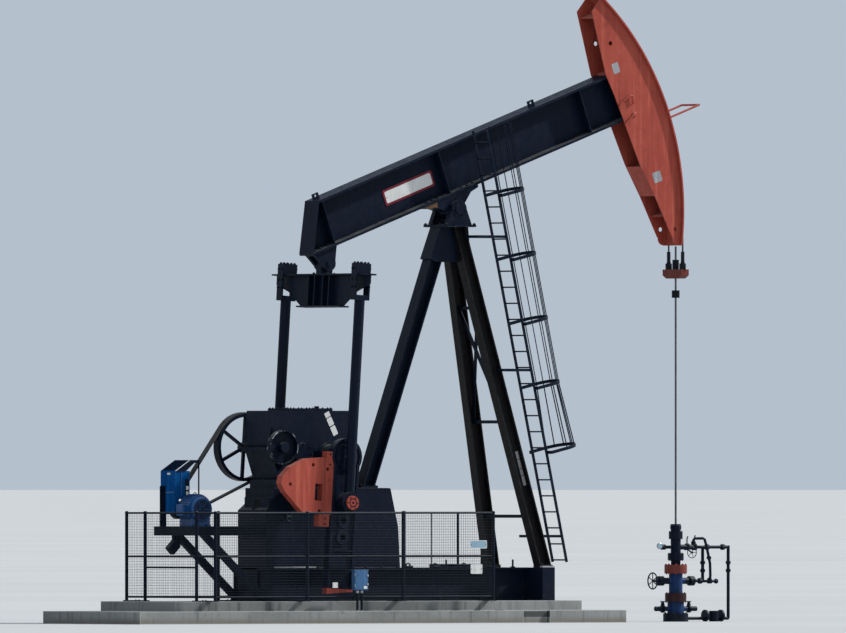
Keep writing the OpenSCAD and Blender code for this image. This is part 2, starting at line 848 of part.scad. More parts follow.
// A post on the upper slab; an arm carries it where it stands outside the slab
module fence_post(x, y) {
    half = post_foot_w / 2;
    translate([x, y, plinth_z]) cylinder(r = fence_post_r, h = fence_top - plinth_z + post_over, $fn = 16);
    if (abs(y) < plinth_w / 2)
        block([x - half, y - half, plinth_z], [x + half, y + half, plinth_z + post_foot_t]);
    else mirror([0, y > 0 ? 1 : 0, 0])
        block([x - half, -fence_y - fence_post_r, plinth_z],
            [x + half, -plinth_w / 2 + post_arm_in, plinth_z + post_foot_t]);
}

module fence_side(s, posts) {
    color(navy) {
        for (x = posts) fence_post(x, s * fence_y);
        for (z = fence_rails)
            rod([posts[0], s * fence_y, z], [posts[len(posts) - 1], s * fence_y, z], fence_rail_r);
    }
}

module fence_near() { fence_side(-1, near_posts); }
module fence_far() { fence_side(1, far_posts); }

module fence_end() {
    reach = fence_y - fence_post_r - seat_gap;
    color(navy) {
        for (y = end_posts) fence_post(-fence_back, y);
        for (z = fence_rails) rod([-fence_back, -reach, z], [-fence_back, reach, z], fence_rail_r);
        rod([-fence_back, end_posts[0], fence_rails[1] - gate_rail_drop],
            [-fence_back, end_posts[1], fence_rails[1] - gate_rail_drop], fence_rail_r);
    }
}

junction_x = -3250;

module junction_box() {
    back = -fence_y - fence_post_r;
    color(blue) block([junction_x, back - 90, 615], [junction_x + 305, back, 985]);
    color(navy) {
        for (x = [95, 190])
            translate([junction_x + x, back - 45, slab_h]) cylinder(r = 22, h = 615 - slab_h);
        for (z = [660, 940]) block([junction_x - 60, back, z - 20],
            [junction_x + 365, back + fence_post_r - fence_rail_r, z + 20]);
    }
}

// WALKING BEAM

beam_top = beam_seat + beam_depth;
tail_end = tail_reach + tail_overhang;
tail_cut = 450;
stiffeners = [-2800, -20, 3400];

module walking_beam() {
    half_f = beam_flange_w / 2;
    color(navy) on_beam() {
        difference() {
            translate([-tail_end, 0, beam_seat])
                i_beam_x(tail_end + beam_front, beam_depth, beam_flange_w, beam_flange_t, beam_web_t);
            y_plate(-half_f - 1, half_f + 1)
                polygon([[-tail_end - 1, beam_seat + 1], [-tail_end - 1, beam_top + 1],
                    [-tail_end + tail_cut, beam_top + 1], [-tail_end, beam_seat + beam_flange_t]]);
        }
        y_plate(-half_f, half_f)
            polygon([[-tail_end, beam_seat + beam_flange_t], [-tail_end + tail_cut, beam_top - 1],
                [-tail_end + tail_cut + 30, beam_top - 1], [-tail_end + 30, beam_seat + beam_flange_t]]);
        for (x = stiffeners)
            block([x - 9, -half_f + 12, beam_seat + 10], [x + 9, half_f - 12, beam_top - 10]);
        for (x = [-2790, 2400]) lifting_lug(x);
    }
}

module lifting_lug(x) {
    difference() {
        block([x - 70, -15, beam_top - 1], [x + 70, 15, beam_top + 110]);
        y_cylinder(28, -20, 20, x, beam_top + 60);
    }
}

saddle_half = 620;
saddle_neck = 430;
saddle_plate_t = 50;
saddle_rib = 30;
pin_end = 25;

module saddle() {
    low = beam_seat - saddle_plate_t;
    pin_half = saddle_hub_w / 2 + stand_t + pin_end;
    color(navy) on_beam() {
        y_plate(-saddle_hub_w / 2, saddle_hub_w / 2) {
            circle(r = saddle_hub_r);
            polygon([[-saddle_hub_r, 0], [saddle_hub_r, 0], [saddle_neck, low - saddle_rib],
                [saddle_half, low], [saddle_half, beam_seat], [-saddle_half, beam_seat],
                [-saddle_half, low], [-saddle_neck, low - saddle_rib]]);
        }
        y_cylinder(saddle_pin_r, -pin_half, pin_half);
    }
}

// The tail bearing under the beam: two cheeks with the pin through them
tail_cheek_in = 90;
tail_cheek_t = 70;
tail_cheek_r = 140;

module tail_bracket() {
    out = tail_cheek_in + tail_cheek_t;
    color(navy) on_beam() translate([-tail_reach, 0, 0]) {
        for (s = [-1, 1])
            difference() {
                y_plate(s > 0 ? tail_cheek_in : -out, s > 0 ? out : -tail_cheek_in) {
                    circle(r = tail_cheek_r);
                    polygon([[-tail_cheek_r, 0], [tail_cheek_r, 0], [250, beam_seat - 40],
                        [250, beam_seat - 39], [-250, beam_seat - 39], [-250, beam_seat - 40]]);
                }
                y_cylinder(tail_pin_r + bore_gap, -out - 1, out + 1);
            }
        block([-260, -out, beam_seat - 40], [260, out, beam_seat]);
    }
}

// HORSEHEAD

cheek_arc_r = arc_r - face_t;
head_up = arc_r * sin(arc_top);
head_down = arc_r * sin(arc_foot);
foot_round = 130;

// A point of the head: how deep behind the face's radius, and its share of the head's rise or drop
function head_point(depth, share) = [arc_r - depth, share * (share > 0 ? head_up : head_down)];

rear_edge = [head_point(998, 1), head_point(1107, 0.468), head_point(1047, 0.289),
    head_point(935, -0.258), head_point(809, -0.55), head_point(696, -0.908)];
rear_table = [for (p = rear_edge) [p[1], p[0]]];

// The wedge between the two ends of the face
module head_wedge() {
    r = 2 * arc_r;
    polygon([[0, 0], r * [cos(arc_top), sin(arc_top)], [r, 0], r * [cos(arc_foot), -sin(arc_foot)]]);
}

// The side outline of the head in the beam's frame: its rear edge, then the arc of the face
module cheek_outline() {
    top = [cheek_arc_r * cos(arc_top), cheek_arc_r * sin(arc_top)];
    foot = [cheek_arc_r * cos(arc_foot), -cheek_arc_r * sin(arc_foot)];
    toe = [rear_edge[5][0] + foot_round, foot[1]];
    intersection() {
        circle(r = cheek_arc_r, $fn = 360);
        union() {
            polygon(concat([[arc_r, top[1]], [top[0] - 20, top[1]]], rear_edge,
                [toe, foot, [arc_r, foot[1]]]));
            translate(toe + [0, foot_round]) circle(r = foot_round);
        }
        head_wedge();
    }
}

head_hole_r = 42;
head_holes = [head_point(810, 0.666), head_point(580, -0.86)];

module cheek(s) {
    out = cheek_span / 2;
    color(red_orange) on_beam() difference() {
        y_plate(s > 0 ? out - cheek_t : -out, s > 0 ? out : -out + cheek_t) cheek_outline();
        for (p = head_holes) y_cylinder(head_hole_r, -out - 1, out + 1, p[0], p[1]);
    }
}

module horsehead_cheek_near() { cheek(-1); }
module horsehead_cheek_far() { cheek(1); }

module horsehead_face() {
    half = face_w / 2;
    color(red_orange) on_beam() y_plate(-half, half) difference() {
        intersection() {
            circle(r = arc_r, $fn = 360);
            head_wedge();
        }
        circle(r = cheek_arc_r, $fn = 360);
    }
}

// Plates between the cheeks: the seat on the beam, a rear batten and three diaphragms
frame_seat = 370;
frame_t = 30;
batten_t = 20;
diaphragm_half = 9;
diaphragm_in = 40;

module horsehead_frame() {
    in_y = cheek_span / 2 - cheek_t;
    along = rear_edge[4] - rear_edge[3];
    high = rear_edge[3] + 0.07 * along;
    low = rear_edge[4] - 0.02 * along;
    color(red_orange) on_beam() {
        block([beam_front - frame_seat, -in_y, beam_top], [beam_front + frame_t, in_y, beam_top + frame_t]);
        block([beam_front, -in_y, beam_seat - frame_t], [beam_front + frame_t, in_y, beam_top]);
        y_plate(-in_y, in_y) polygon([high, low, low + [batten_t, 0], high + [batten_t, 0]]);
        for (z = [0.88 * head_up, -0.3 * head_down, -0.727 * head_down])
            block([lookup(z, rear_table) + diaphragm_in, -in_y, z - diaphragm_half],
                [sqrt(pow(cheek_arc_r, 2) - pow(abs(z) + diaphragm_half, 2)) - seat_gap, in_y,
                    z + diaphragm_half]);
    }
}

module head_guard() {
    side = face_w / 2 - guard_rod_r;
    color(navy) on_beam() {
        for (y = [-side, side]) {
            translate([arc_r + seat_gap, y, 0]) rotate([0, 90, 0])
                cylinder(r = guard_rod_r, h = guard_reach - seat_gap);
            translate([arc_r + guard_reach, y, 0]) sphere(r = guard_rod_r);
        }
        y_cylinder(guard_rod_r, -side, side, arc_r + guard_reach, 0);
    }
}

// The bridle wire on the face, from the point where it leaves the arc to its anchor at the top
wire_off = -beam_tilt;

module bridle_wrapped() {
    anchor = arc_top - 1.2;
    color(steel) on_beam() rotate([90, 0, 0]) for (s = [-1, 1]) translate([0, 0, s * wire_y])
        rotate([0, 0, wire_off]) rotate_extrude(angle = anchor - wire_off, $fn = 360)
        translate([well_x, 0]) circle(r = wire_r, $fn = 16);
    color(steel) on_beam() for (s = [-1, 1])
        rotate([0, -anchor, 0]) translate([arc_r + seat_gap, s * wire_y - 45, 0]) cube([80, 90, 90]);
}

// EQUALIZER AND PITMANS

module equalizer_web() {
    half = equalizer_len / 2;
    top = -equalizer_drop - equalizer_t;
    polygon([[-half, top], [half, top], [half, top - 160], [pitman_y - 100, top - web_at_pitman],
        [pitman_y - 500, top - equalizer_depth], [-pitman_y + 500, top - equalizer_depth],
        [-pitman_y + 100, top - web_at_pitman], [-half, top - 160]]);
}

module equalizer() {
    half = equalizer_len / 2;
    top = -equalizer_drop;
    low = top - equalizer_t - equalizer_depth;
    bearing_r = 130;
    color(navy) on_pitmans() {
        block([-equalizer_w / 2, -half, top - equalizer_t], [equalizer_w / 2, half, top]);
        rotate([90, 0, 90]) translate([0, 0, -equalizer_t / 2]) linear_extrude(equalizer_t)
            equalizer_web();
        block([-equalizer_w * 0.45, -pitman_y + 500, low - equalizer_t],
            [equalizer_w * 0.45, pitman_y - 500, low]);
        for (y = [-330, -130, 130, 330])
            block([-equalizer_w * 0.45, y - 12, low], [equalizer_w * 0.45, y + 12, top - 5]);
        y_plate(-tail_cheek_in + swing_gap, tail_cheek_in - swing_gap) {
            circle(r = bearing_r);
            translate([-bearing_r, top - 1]) square([2 * bearing_r, -top + 1]);
        }
        y_cylinder(tail_pin_r, -tail_cheek_in - tail_cheek_t - 20, tail_cheek_in + tail_cheek_t + 20);
    }
}

web_at_pitman = 300;
pitman_half = 85;
pitman_plate_t = 30;
pitman_slot = 70;

// A pitman: the straps that hang it on the equalizer, the tube and the wrist pin housing
module pitman(s) {
    top = -equalizer_drop;
    strap_in = equalizer_w / 2 + seat_gap;
    strap_out = strap_in + pitman_plate_t;
    strap_low = top - equalizer_t - web_at_pitman - pitman_slot;
    color(navy) on_pitmans() translate([0, s * pitman_y, 0]) {
        for (k = [-1, 1])
            translate([k > 0 ? strap_in : -strap_out, -pitman_half, strap_low])
                cube([pitman_plate_t, 2 * pitman_half, top + 190 - strap_low]);
        block([-strap_out, -pitman_half, top], [strap_out, pitman_half, top + 190]);
        block([-strap_out, -pitman_half, strap_low - 90], [strap_out, pitman_half, strap_low + 1]);
        difference() {
            translate([0, 0, wrist_z]) cylinder(r = pitman_r, h = strap_low - 89 - wrist_z);
            y_cylinder(wrist_housing_r - 5, -wrist_housing_half, wrist_housing_half, 0, wrist_z);
        }
        difference() {
            y_cylinder(wrist_housing_r, -wrist_housing_half, wrist_housing_half, 0, wrist_z);
            y_cylinder(wrist_pin_r + seat_gap, -wrist_housing_half - 1, wrist_housing_half + 1, 0, wrist_z);
        }
    }
}

wrist_housing_half = 100;
wrist_pin_r = 72;

module pitman_near() { pitman(-1); }
module pitman_far() { pitman(1); }

// The two wrist pins with their caps; each stops just short of its crank
module wrist_pins() {
    color(red_orange) on_pitmans() for (s = [-1, 1]) mirror([0, s > 0 ? 1 : 0, 0]) {
        y_cylinder(wrist_pin_r, -pitman_y - wrist_housing_half - 1, -crank_out_y - swing_gap, 0, wrist_z);
        y_cylinder(wrist_cap_r, -pitman_y - wrist_housing_half - 45,
            -pitman_y - wrist_housing_half, 0, wrist_z);
    }
}

// CRANKS

module crank_outline(inset) {
    w = crank_half_w - inset;
    intersection() {
        union() {
            circle(r = crank_head_r - inset);
            translate([-w, -crank_len + inset]) square([2 * w, crank_len - inset]);
        }
        polygon([[-w - 60, crank_head_r], [w + 60, crank_head_r], [w + 60, -600], [w, -900],
            [w, -crank_len], [-w, -crank_len], [-w, -900], [-w - 60, -600]]);
    }
}

pin_r = 62;
pin_boss_r = 135;
pin_holes = [crank_throw, crank_throw + 330, crank_throw + 640];
crank_ribs = [1750, 2100];
crank_boss = 110;

module crank(s) {
    face = crank_out_y;
    color(navy) on_cranks() mirror([0, s > 0 ? 1 : 0, 0]) difference() {
        union() {
            difference() {
                y_plate(-face, -crank_in_y) crank_outline(0);
                y_plate(-face - 1, -face + crank_recess) crank_outline(55);
            }
            y_plate(-face, -face + crank_recess + 1) intersection() {
                crank_outline(0);
                union() {
                    circle(r = crankshaft_r + crank_boss);
                    for (z = pin_holes) translate([0, -z]) circle(r = pin_boss_r);
                    for (z = crank_ribs) translate([-crank_half_w, -z]) square([2 * crank_half_w, 40]);
                }
            }
        }
        y_cylinder(crankshaft_r + seat_gap, -face - 1, -crank_in_y + 1);
        for (z = pin_holes) y_cylinder(pin_r, -face - 1, -crank_in_y + 1, 0, -z);
    }
}

module crank_near() { crank(-1); }
module crank_far() { crank(1); }

collar_r = 230;
collar_gap = 20;

module crankshaft() {
    collar_in = gearbox_half_w + bearing_cap_w + collar_gap;
    color(steel) on_cranks() y_cylinder(crankshaft_r, -crank_out_y, crank_out_y);
    color(navy) on_cranks() for (s = [-1, 1])
        y_cylinder(collar_r, s > 0 ? collar_in : -crank_in_y, s > 0 ? crank_in_y : -collar_in);
}

weight_rim = [[642, -96], [972, -276], [1141, -454], [1167, -586], [1054, -746], [646, -1090]];
weight_holes = [[460, -200], [130, -260], [950, -590], [270, -1040]];
weight_hole_r = 34;
weight_slot = [[230, -850], [390, -540]];

// The outline of one counterweight beside the crank, with its two clamp tabs
module weight_outline() {
    edge = crank_half_w;
    polygon(concat([[edge, -20]], [for (p = weight_rim) [edge + p[0], p[1]]], [[edge, -1090]]));
    translate([edge, -250]) square([165, 320]);
    translate([edge + 40, -1320]) square([230, 235]);
}

module counterweight(side) {
    y_in = crank_in_y + (crank_t - weight_t) / 2;
    y_out = y_in + weight_t;
    color(red_orange) on_cranks() mirror([0, side > 0 ? 1 : 0, 0]) {
        mirror([side < 0 ? 1 : 0, 0, 0]) difference() {
            y_plate(-y_out, -y_in) difference() {
                weight_outline();
                circle(r = crank_head_r + seat_gap);
            }
            for (p = weight_holes)
                y_cylinder(weight_hole_r, -y_out - 1, -y_in + 1, crank_half_w + p[0], p[1]);
            block([crank_half_w + weight_slot[0][0], -y_out - 1, weight_slot[0][1]],
                [crank_half_w + weight_slot[1][0], -y_in + 1, weight_slot[1][1]]);
        }
        y_plate(-y_out, -y_in)
            polygon([[-crank_half_w, -crank_len], [crank_half_w, -crank_len],
                [crank_half_w, -crank_len - 40], [-crank_half_w, -crank_len - 110]]);
    }
}

module counterweight_near() { counterweight(-1); }
module counterweight_far() { counterweight(1); }

// CARRIER, POLISHED ROD AND WIRES

carrier_h = 170;
socket_h = 330;

module carrier_bar() {
    color(red_orange) difference() {
        translate([well_x, 0, carrier_z]) rotate([90, 0, 90]) translate([0, 0, -85]) linear_extrude(170)
            polygon([[-190, 0], [190, 0], [300, 60], [300, carrier_h], [-300, carrier_h], [-300, 60]]);
        translate([well_x, 0, carrier_z - 1]) cylinder(r = rod_r + bore_gap, h = carrier_h + 2);
    }
    color(steel) for (s = [-1, 1]) {
        translate([well_x, s * wire_y, carrier_z + carrier_h]) cylinder(r = 62, h = 110);
        translate([well_x, s * wire_y, carrier_z + carrier_h + 110]) cylinder(r = 34, h = socket_h - 110);
    }
}

rod_top = 7000;
rod_foot = 900;

module polished_rod() {
    color(steel) translate([well_x, 0, rod_foot]) cylinder(r = rod_r, h = rod_top - rod_foot);
    color(navy) {
        translate([well_x, 0, carrier_z + carrier_h + seat_gap]) cylinder(r = 62, h = 180);
        translate([well_x, 0, carrier_z - 360]) cylinder(r = 75, h = 140);
    }
}

module bridle_wires() {
    low = carrier_z + carrier_h + socket_h;
    color(steel) for (s = [-1, 1])
        translate([well_x, s * wire_y, low]) cylinder(r = wire_r, h = saddle_z - low - seat_gap, $fn = 16);
}

// WELLHEAD

module well_ring(r, z, h) {
    difference() {
        translate([well_x, 0, z]) cylinder(r = r, h = h);
        translate([well_x, 0, z - 1]) cylinder(r = well_bore_r, h = h + 2);
    }
}

tubing_z = 790;
cap_z = 1060;

module casing_head() {
    color(blue) difference() {
        union() {
            translate([well_x, 0, 0]) cylinder(r = flange_r, h = 150);
            translate([well_x, 0, 150]) cylinder(r = well_r, h = 220);
            translate([well_x, 0, 370]) cylinder(r = well_r + 45, h = 160);
        }
        translate([well_x, 0, -1]) cylinder(r = well_bore_r, h = 600);
    }
    color(navy) for (s = [-1, 1])
        rod([well_x + s * (well_r - 20), 0, 240], [well_x + s * 470, 0, 240], 45);
}

module tubing_head() {
    color(blue) well_ring(well_r * 0.82, 530, cap_z - 530);
    color(red_orange) difference() {
        translate([well_x, 0, cap_z - 160]) cylinder(r = flange_r * 0.9, h = 160);
        translate([well_x, 0, cap_z - 161]) cylinder(r = well_r * 0.8, h = 162);
    }
    color(navy) for (s = [-1, 1]) {
        rod([well_x + s * (well_r * 0.82 - 20), 0, 760], [well_x + s * 300, 0, 760], 60);
        rod([well_x + s * 300, 0, 760], [well_x + s * 400, 0, 760], 90);
    }
}

tee_z = 1390;

module stuffing_box() {
    color(navy) {
        well_ring(90, cap_z, 90);
        well_ring(150, cap_z + 90, 120);
        well_ring(95, cap_z + 210, 270);
        well_ring(130, tee_z + 150, 140);
        difference() {
            translate([well_x, 0, tee_z + 290]) cylinder(r = 95, h = stuffing_top - tee_z - 290);
            translate([well_x, 0, tee_z + 289]) cylinder(r = rod_r + 2, h = 400);
        }
        rod([well_x - 88, 0, tee_z], [well_x - 250, 0, tee_z], pipe_r);
        rod([well_x - 250, 0, tee_z], [well_x - 330, 0, tee_z], pipe_r + 20);
        rod([well_x + 88, 0, tee_z], [well_x + 460, 0, tee_z], pipe_r + 18);
    }
}

riser_x = 1210;
valve_x = 660;

module flow_piping() {
    start = well_x + 460;
    far = well_x + riser_x;
    color(navy) {
        rod([start, 0, tee_z], [far, 0, tee_z], pipe_r);
        rod([far, 0, tee_z + pipe_r], [far, 0, 60], pipe_r);
        rod([start + 160, 0, tee_z], [start + 160, 0, 760], pipe_r);
        rod([well_x + 400, 0, 760], [start + 160, 0, 760], pipe_r);
        rod([far, 0, 60], [well_x + flange_r + seat_gap, 0, 60], pipe_r);
        translate([well_x + valve_x + 220, 0, 0]) cylinder(r = 90, h = 200);
        rod([well_x + valve_x, 0, 110], [well_x + valve_x + 40, 0, 110], 110);
        rod([well_x + valve_x + 360, 0, 110], [well_x + valve_x + 400, 0, 110], 110);
    }
}

module valve_handwheel() {
    x = well_x - 400;
    color(navy) {
        rod([x - seat_gap, 0, 760], [x - 130, 0, 760], 22);
        translate([x - 130, 0, 760]) rotate([0, 90, 0]) {
            rotate_extrude() translate([150, 0]) circle(r = 13, $fn = 24);
            for (a = [0 : 60 : 300]) rotate([0, 0, a]) rotate([0, 90, 0])
                cylinder(r = 9, h = 150, $fn = 16);
        }
    }
}

foundation_slab();
foundation_plinth();
skid_beams();
skid_cross_members();
reducer_pedestal();
gearbox_housing();
gearbox_cover();
rear_leg();
front_leg_near();
front_leg_far();
leg_bracing();
post_head();
ladder();
cage_hoops();
cage_bars();
motor_frame();
motor();
belt_guard();
drive_belts();
fence_near();
fence_far();
fence_end();
junction_box();
casing_head();
tubing_head();
stuffing_box();
flow_piping();
walking_beam();
saddle();
tail_bracket();
horsehead_cheek_near();
horsehead_cheek_far();
horsehead_face();
horsehead_frame();
head_guard();
bridle_wrapped();
equalizer();
pitman_near();
pitman_far();
wrist_pins();
crankshaft();
crank_near();
crank_far();
counterweight_near();
counterweight_far();
carrier_bar();
polished_rod();
bridle_wires();
sheave();
brake_drum();
motor_pulley();
valve_handwheel();
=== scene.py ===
import math

import bmesh
import bpy
from mathutils import Matrix, Vector


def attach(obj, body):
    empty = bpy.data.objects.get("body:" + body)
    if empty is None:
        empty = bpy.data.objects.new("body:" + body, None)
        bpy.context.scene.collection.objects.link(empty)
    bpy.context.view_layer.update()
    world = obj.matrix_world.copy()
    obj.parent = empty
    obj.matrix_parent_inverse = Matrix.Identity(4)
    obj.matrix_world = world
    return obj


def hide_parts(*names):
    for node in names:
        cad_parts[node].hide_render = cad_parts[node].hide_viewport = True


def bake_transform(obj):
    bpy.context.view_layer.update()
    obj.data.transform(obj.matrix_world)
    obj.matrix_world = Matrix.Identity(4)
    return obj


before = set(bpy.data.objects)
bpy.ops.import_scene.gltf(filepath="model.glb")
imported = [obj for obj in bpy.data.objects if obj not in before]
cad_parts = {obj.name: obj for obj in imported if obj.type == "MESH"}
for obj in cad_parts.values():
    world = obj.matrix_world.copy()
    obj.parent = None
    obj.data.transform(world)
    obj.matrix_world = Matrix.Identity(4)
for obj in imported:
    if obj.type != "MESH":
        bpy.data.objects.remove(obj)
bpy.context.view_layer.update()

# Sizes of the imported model, in metres, and its tilts
SADDLE_Z = 7.66
BEAM_TILT = math.radians(19.8)
PITMAN_LEAN = math.radians(3.76)
LADDER_LEAN = math.radians(12.8)
TAIL = Vector((-2.83581, 0, 6.63904))
CRANKSHAFT = Vector((-3.07019, 0, 3.07274))
INPUT_SHAFT = Vector((-4.15619, 0, 3.24274))
MOTOR_SHAFT = Vector((-5.62, 0, 2.1))
WELL_X = 5.1663
PLINTH_Z = 0.41
SKID_TOP = 1.02
PEDESTAL_TOP = 2.49
GEARBOX_TOP = 3.92
GEARBOX_SEAM = 3.21
GEARBOX_HALF_W = 0.42
GEARBOX_X = (-4.38319, -2.51019)
COVER_X = (-3.835, -2.938)
MID_SHAFT = Vector((-3.61319, 0, 3.13274))
POST_TOP = 7.37
FENCE_Y = 1.43
FENCE_X = (-6.29, -0.03, 1.75)
FENCE_Z = (0.49, 2.035)
NEAR_POSTS = (-6.29, -4.23, -2.07, -0.03)
FAR_POSTS = NEAR_POSTS + (1.75,)
DRUM_RIM = 0.300
SEAM_HALF = 0.035
COVER_TOP = GEARBOX_TOP + 0.045
BEAM_FLANGE = 0.315
PITMAN_Y = 1.186
PITMAN_DROP = 4.427
GUARD_NEAR = 0.4305
WRIST = Vector((-3.1262, 0, 2.2216))
WIRE_Y = 0.222
WIRE_R = 0.016
# A box round the slab's recess, which the concrete paints nearly black as painted shade
RECESS_SHADE = ((0.56, None, 0.11), (1.16, -1.40, 0.215))

# Where the ropes lie on the head, in degrees from the beam's line, and their lay, in radians per metre
WRAP_START = -19.8
WRAP_END = 29.3
ROPE_LOBES = 6
ROPE_TWIST = 34

# The near and the far side
SIDES = (-1, 1)

# Places of the pieces' own axes, and turns that aim a place's z axis
HERE = Matrix.Identity(4)
shift = Matrix.Translation
BEAM = shift((0, 0, SADDLE_Z)) @ Matrix.Rotation(-BEAM_TILT, 4, "Y")
PITMANS = shift(TAIL) @ Matrix.Rotation(PITMAN_LEAN, 4, "Y")
CRANKS = shift(CRANKSHAFT) @ Matrix.Rotation(PITMAN_LEAN, 4, "Y")
LADDER = shift((2.13, 0, 1.12)) @ Matrix.Rotation(-LADDER_LEAN, 4, "Y")
AIMS = {
    "+x": Matrix.Rotation(math.pi / 2, 4, "Y"),
    "-x": Matrix.Rotation(-math.pi / 2, 4, "Y"),
    "+y": Matrix.Rotation(-math.pi / 2, 4, "X"),
    "-y": Matrix.Rotation(math.pi / 2, 4, "X"),
    "+z": HERE,
    "-z": Matrix.Rotation(math.pi, 4, "X"),
}


# MATERIALS


class Look:
    """Lays out the nodes of one material. Colours are linear; sockets and numbers can be mixed freely."""

    def __init__(self, name):
        self.material = bpy.data.materials.new(name)
        self.material.use_nodes = True
        self.tree = self.material.node_tree
        self.shader = self.tree.nodes["Principled BSDF"]
        self.at = self.node("ShaderNodeTexCoord").outputs["Object"]
        axes = self.node("ShaderNodeSeparateXYZ")
        self.link(self.at, axes.inputs[0])
        self.x, self.y, self.z = axes.outputs

    def node(self, kind, **settings):
        made = self.tree.nodes.new(kind)
        for key, value in settings.items():
            setattr(made, key, value)
        return made

    def link(self, value, socket):
        if isinstance(value, bpy.types.NodeSocket):
            self.tree.links.new(value, socket)
        else:
            socket.default_value = value

    def math(self, operation, a, b=0.0):
        made = self.node("ShaderNodeMath", operation=operation)
        self.link(a, made.inputs[0])
        self.link(b, made.inputs[1])
        return made.outputs[0]

    def times(self, a, b):
        return self.math("MULTIPLY", a, b)

    def scaled(self, x, y, z):
        made = self.node("ShaderNodeVectorMath", operation="MULTIPLY")
        self.link(self.at, made.inputs[0])
        made.inputs[1].default_value = (x, y, z)
        return made.outputs[0]

    def noise(self, scale, detail=3.0, rough=0.55, at=None):
        made = self.node("ShaderNodeTexNoise")
        self.link(at or self.at, made.inputs["Vector"])
        made.inputs["Scale"].default_value = scale
        made.inputs["Detail"].default_value = detail
        made.inputs["Roughness"].default_value = rough
        return made.outputs["Fac"]

    def ramp(self, value, start, end, low=0.0, high=1.0):
        made = self.node("ShaderNodeMapRange", interpolation_type="SMOOTHSTEP")
        for socket, given in zip(made.inputs, (value, start, end, low, high)):
            self.link(given, socket)
        return made.outputs[0]

    def mix(self, amount, a, b):
        made = self.node("ShaderNodeMix", data_type="RGBA")
        self.link(amount, made.inputs[0])
        self.link(a if isinstance(a, bpy.types.NodeSocket) else (*a, 1), made.inputs[6])
        self.link(b if isinstance(b, bpy.types.NodeSocket) else (*b, 1), made.inputs[7])
        return made.outputs[2]

    def upward(self):
        """How far the surface faces up, from -1 to 1, in the rest position."""
        axes = self.node("ShaderNodeSeparateXYZ")
        self.link(self.node("ShaderNodeTexCoord").outputs["Normal"], axes.inputs[0])
        return axes.outputs[2]

    def edges(self, width):
        """About 1 on sharp edges and 0 on flats."""
        bevel = self.node("ShaderNodeBevel", samples=4)
        bevel.inputs["Radius"].default_value = width
        made = self.node("ShaderNodeVectorMath", operation="DOT_PRODUCT")
        self.link(bevel.outputs[0], made.inputs[0])
        self.link(self.node("ShaderNodeNewGeometry").outputs["Normal"], made.inputs[1])
        return self.ramp(made.outputs["Value"], 0.985, 0.82)

    def inside(self, low, high):
        """1 within a box of the rest position, 0 outside; None leaves a side open."""
        mask = 1.0
        for axis, a, b in zip((self.x, self.y, self.z), low, high):
            if a is not None:
                mask = self.times(self.math("GREATER_THAN", axis, a), mask)
            if b is not None:
                mask = self.times(self.math("LESS_THAN", axis, b), mask)
        return mask

    def away(self, centre, radius, upright=False):
        """1 beyond a radius from an axis along Y, or an upright one, 0 within it."""
        du = self.math("SUBTRACT", self.x, centre.x)
        dv = self.math("SUBTRACT", self.y if upright else self.z, centre.y if upright else centre.z)
        square = self.math("ADD", self.times(du, du), self.times(dv, dv))
        return self.math("GREATER_THAN", square, radius * radius)

    def above(self, place, height):
        """1 above a height in a place tilted about Y, 0 below it."""
        up = place.to_3x3() @ Vector((0, 0, 1))
        lift = self.math("ADD", self.times(self.x, up.x), self.times(self.z, up.z))
        return self.math("GREATER_THAN", lift, height + up.dot(place.translation))

    def bump(self, height, strength, distance):
        made = self.node("ShaderNodeBump")
        made.inputs["Strength"].default_value = strength
        made.inputs["Distance"].default_value = distance
        self.link(height, made.inputs["Height"])
        self.link(made.outputs[0], self.shader.inputs["Normal"])


# Paints and metals: the fresh and the faded or worn colour
NAVY = ((0.0021, 0.0058, 0.0155), (0.0052, 0.0112, 0.0260))
LEG_NAVY = ((0.0058, 0.0054, 0.0064), (0.0130, 0.0115, 0.0125))
RED = ((0.315, 0.056, 0.038), (0.445, 0.098, 0.066))
DULL_RED = ((0.135, 0.032, 0.026), (0.200, 0.055, 0.045))
MAROON = ((0.030, 0.011, 0.013), (0.060, 0.024, 0.024))
BLUE = ((0.0034, 0.0560, 0.190), (0.0100, 0.0980, 0.290))
WELL_BLUE = ((0.0075, 0.0260, 0.090), (0.0180, 0.0520, 0.150))
CRIMSON = ((0.150, 0.016, 0.026), (0.230, 0.034, 0.044))
# Painted shade inside the pedestal's hand hole
HOLE_SHADE = ((0.0008, 0.0008, 0.0010), (0.0015, 0.0015, 0.0018))
BOX_BLUE = ((0.045, 0.115, 0.230), (0.085, 0.180, 0.330))
STEEL = ((0.26, 0.27, 0.28), (0.42, 0.43, 0.44))
OCHRE = ((0.110, 0.060, 0.034), (0.180, 0.110, 0.065))
ROD = ((0.070, 0.073, 0.078), (0.130, 0.135, 0.140))
ROPE = ((0.010, 0.013, 0.017), (0.030, 0.034, 0.040))
WHITE = ((0.62, 0.62, 0.60), (0.74, 0.74, 0.72))
# Worn white paint, also the colour of a painted sunlit strip on the skid
WORN_WHITE_AND_HIGHLIGHT = ((0.26, 0.26, 0.27), (0.40, 0.40, 0.41))
PALE = ((0.24, 0.36, 0.44), (0.34, 0.46, 0.54))

# What lies on them or shows through; the primer colour also serves as a painted edge highlight
DUST = (0.22, 0.21, 0.185)
GRIME = (0.018, 0.018, 0.018)
STAIN = (0.026, 0.016, 0.014)
RUST = (0.070, 0.026, 0.013)
PRIMER_AND_HIGHLIGHT = (0.040, 0.046, 0.058)


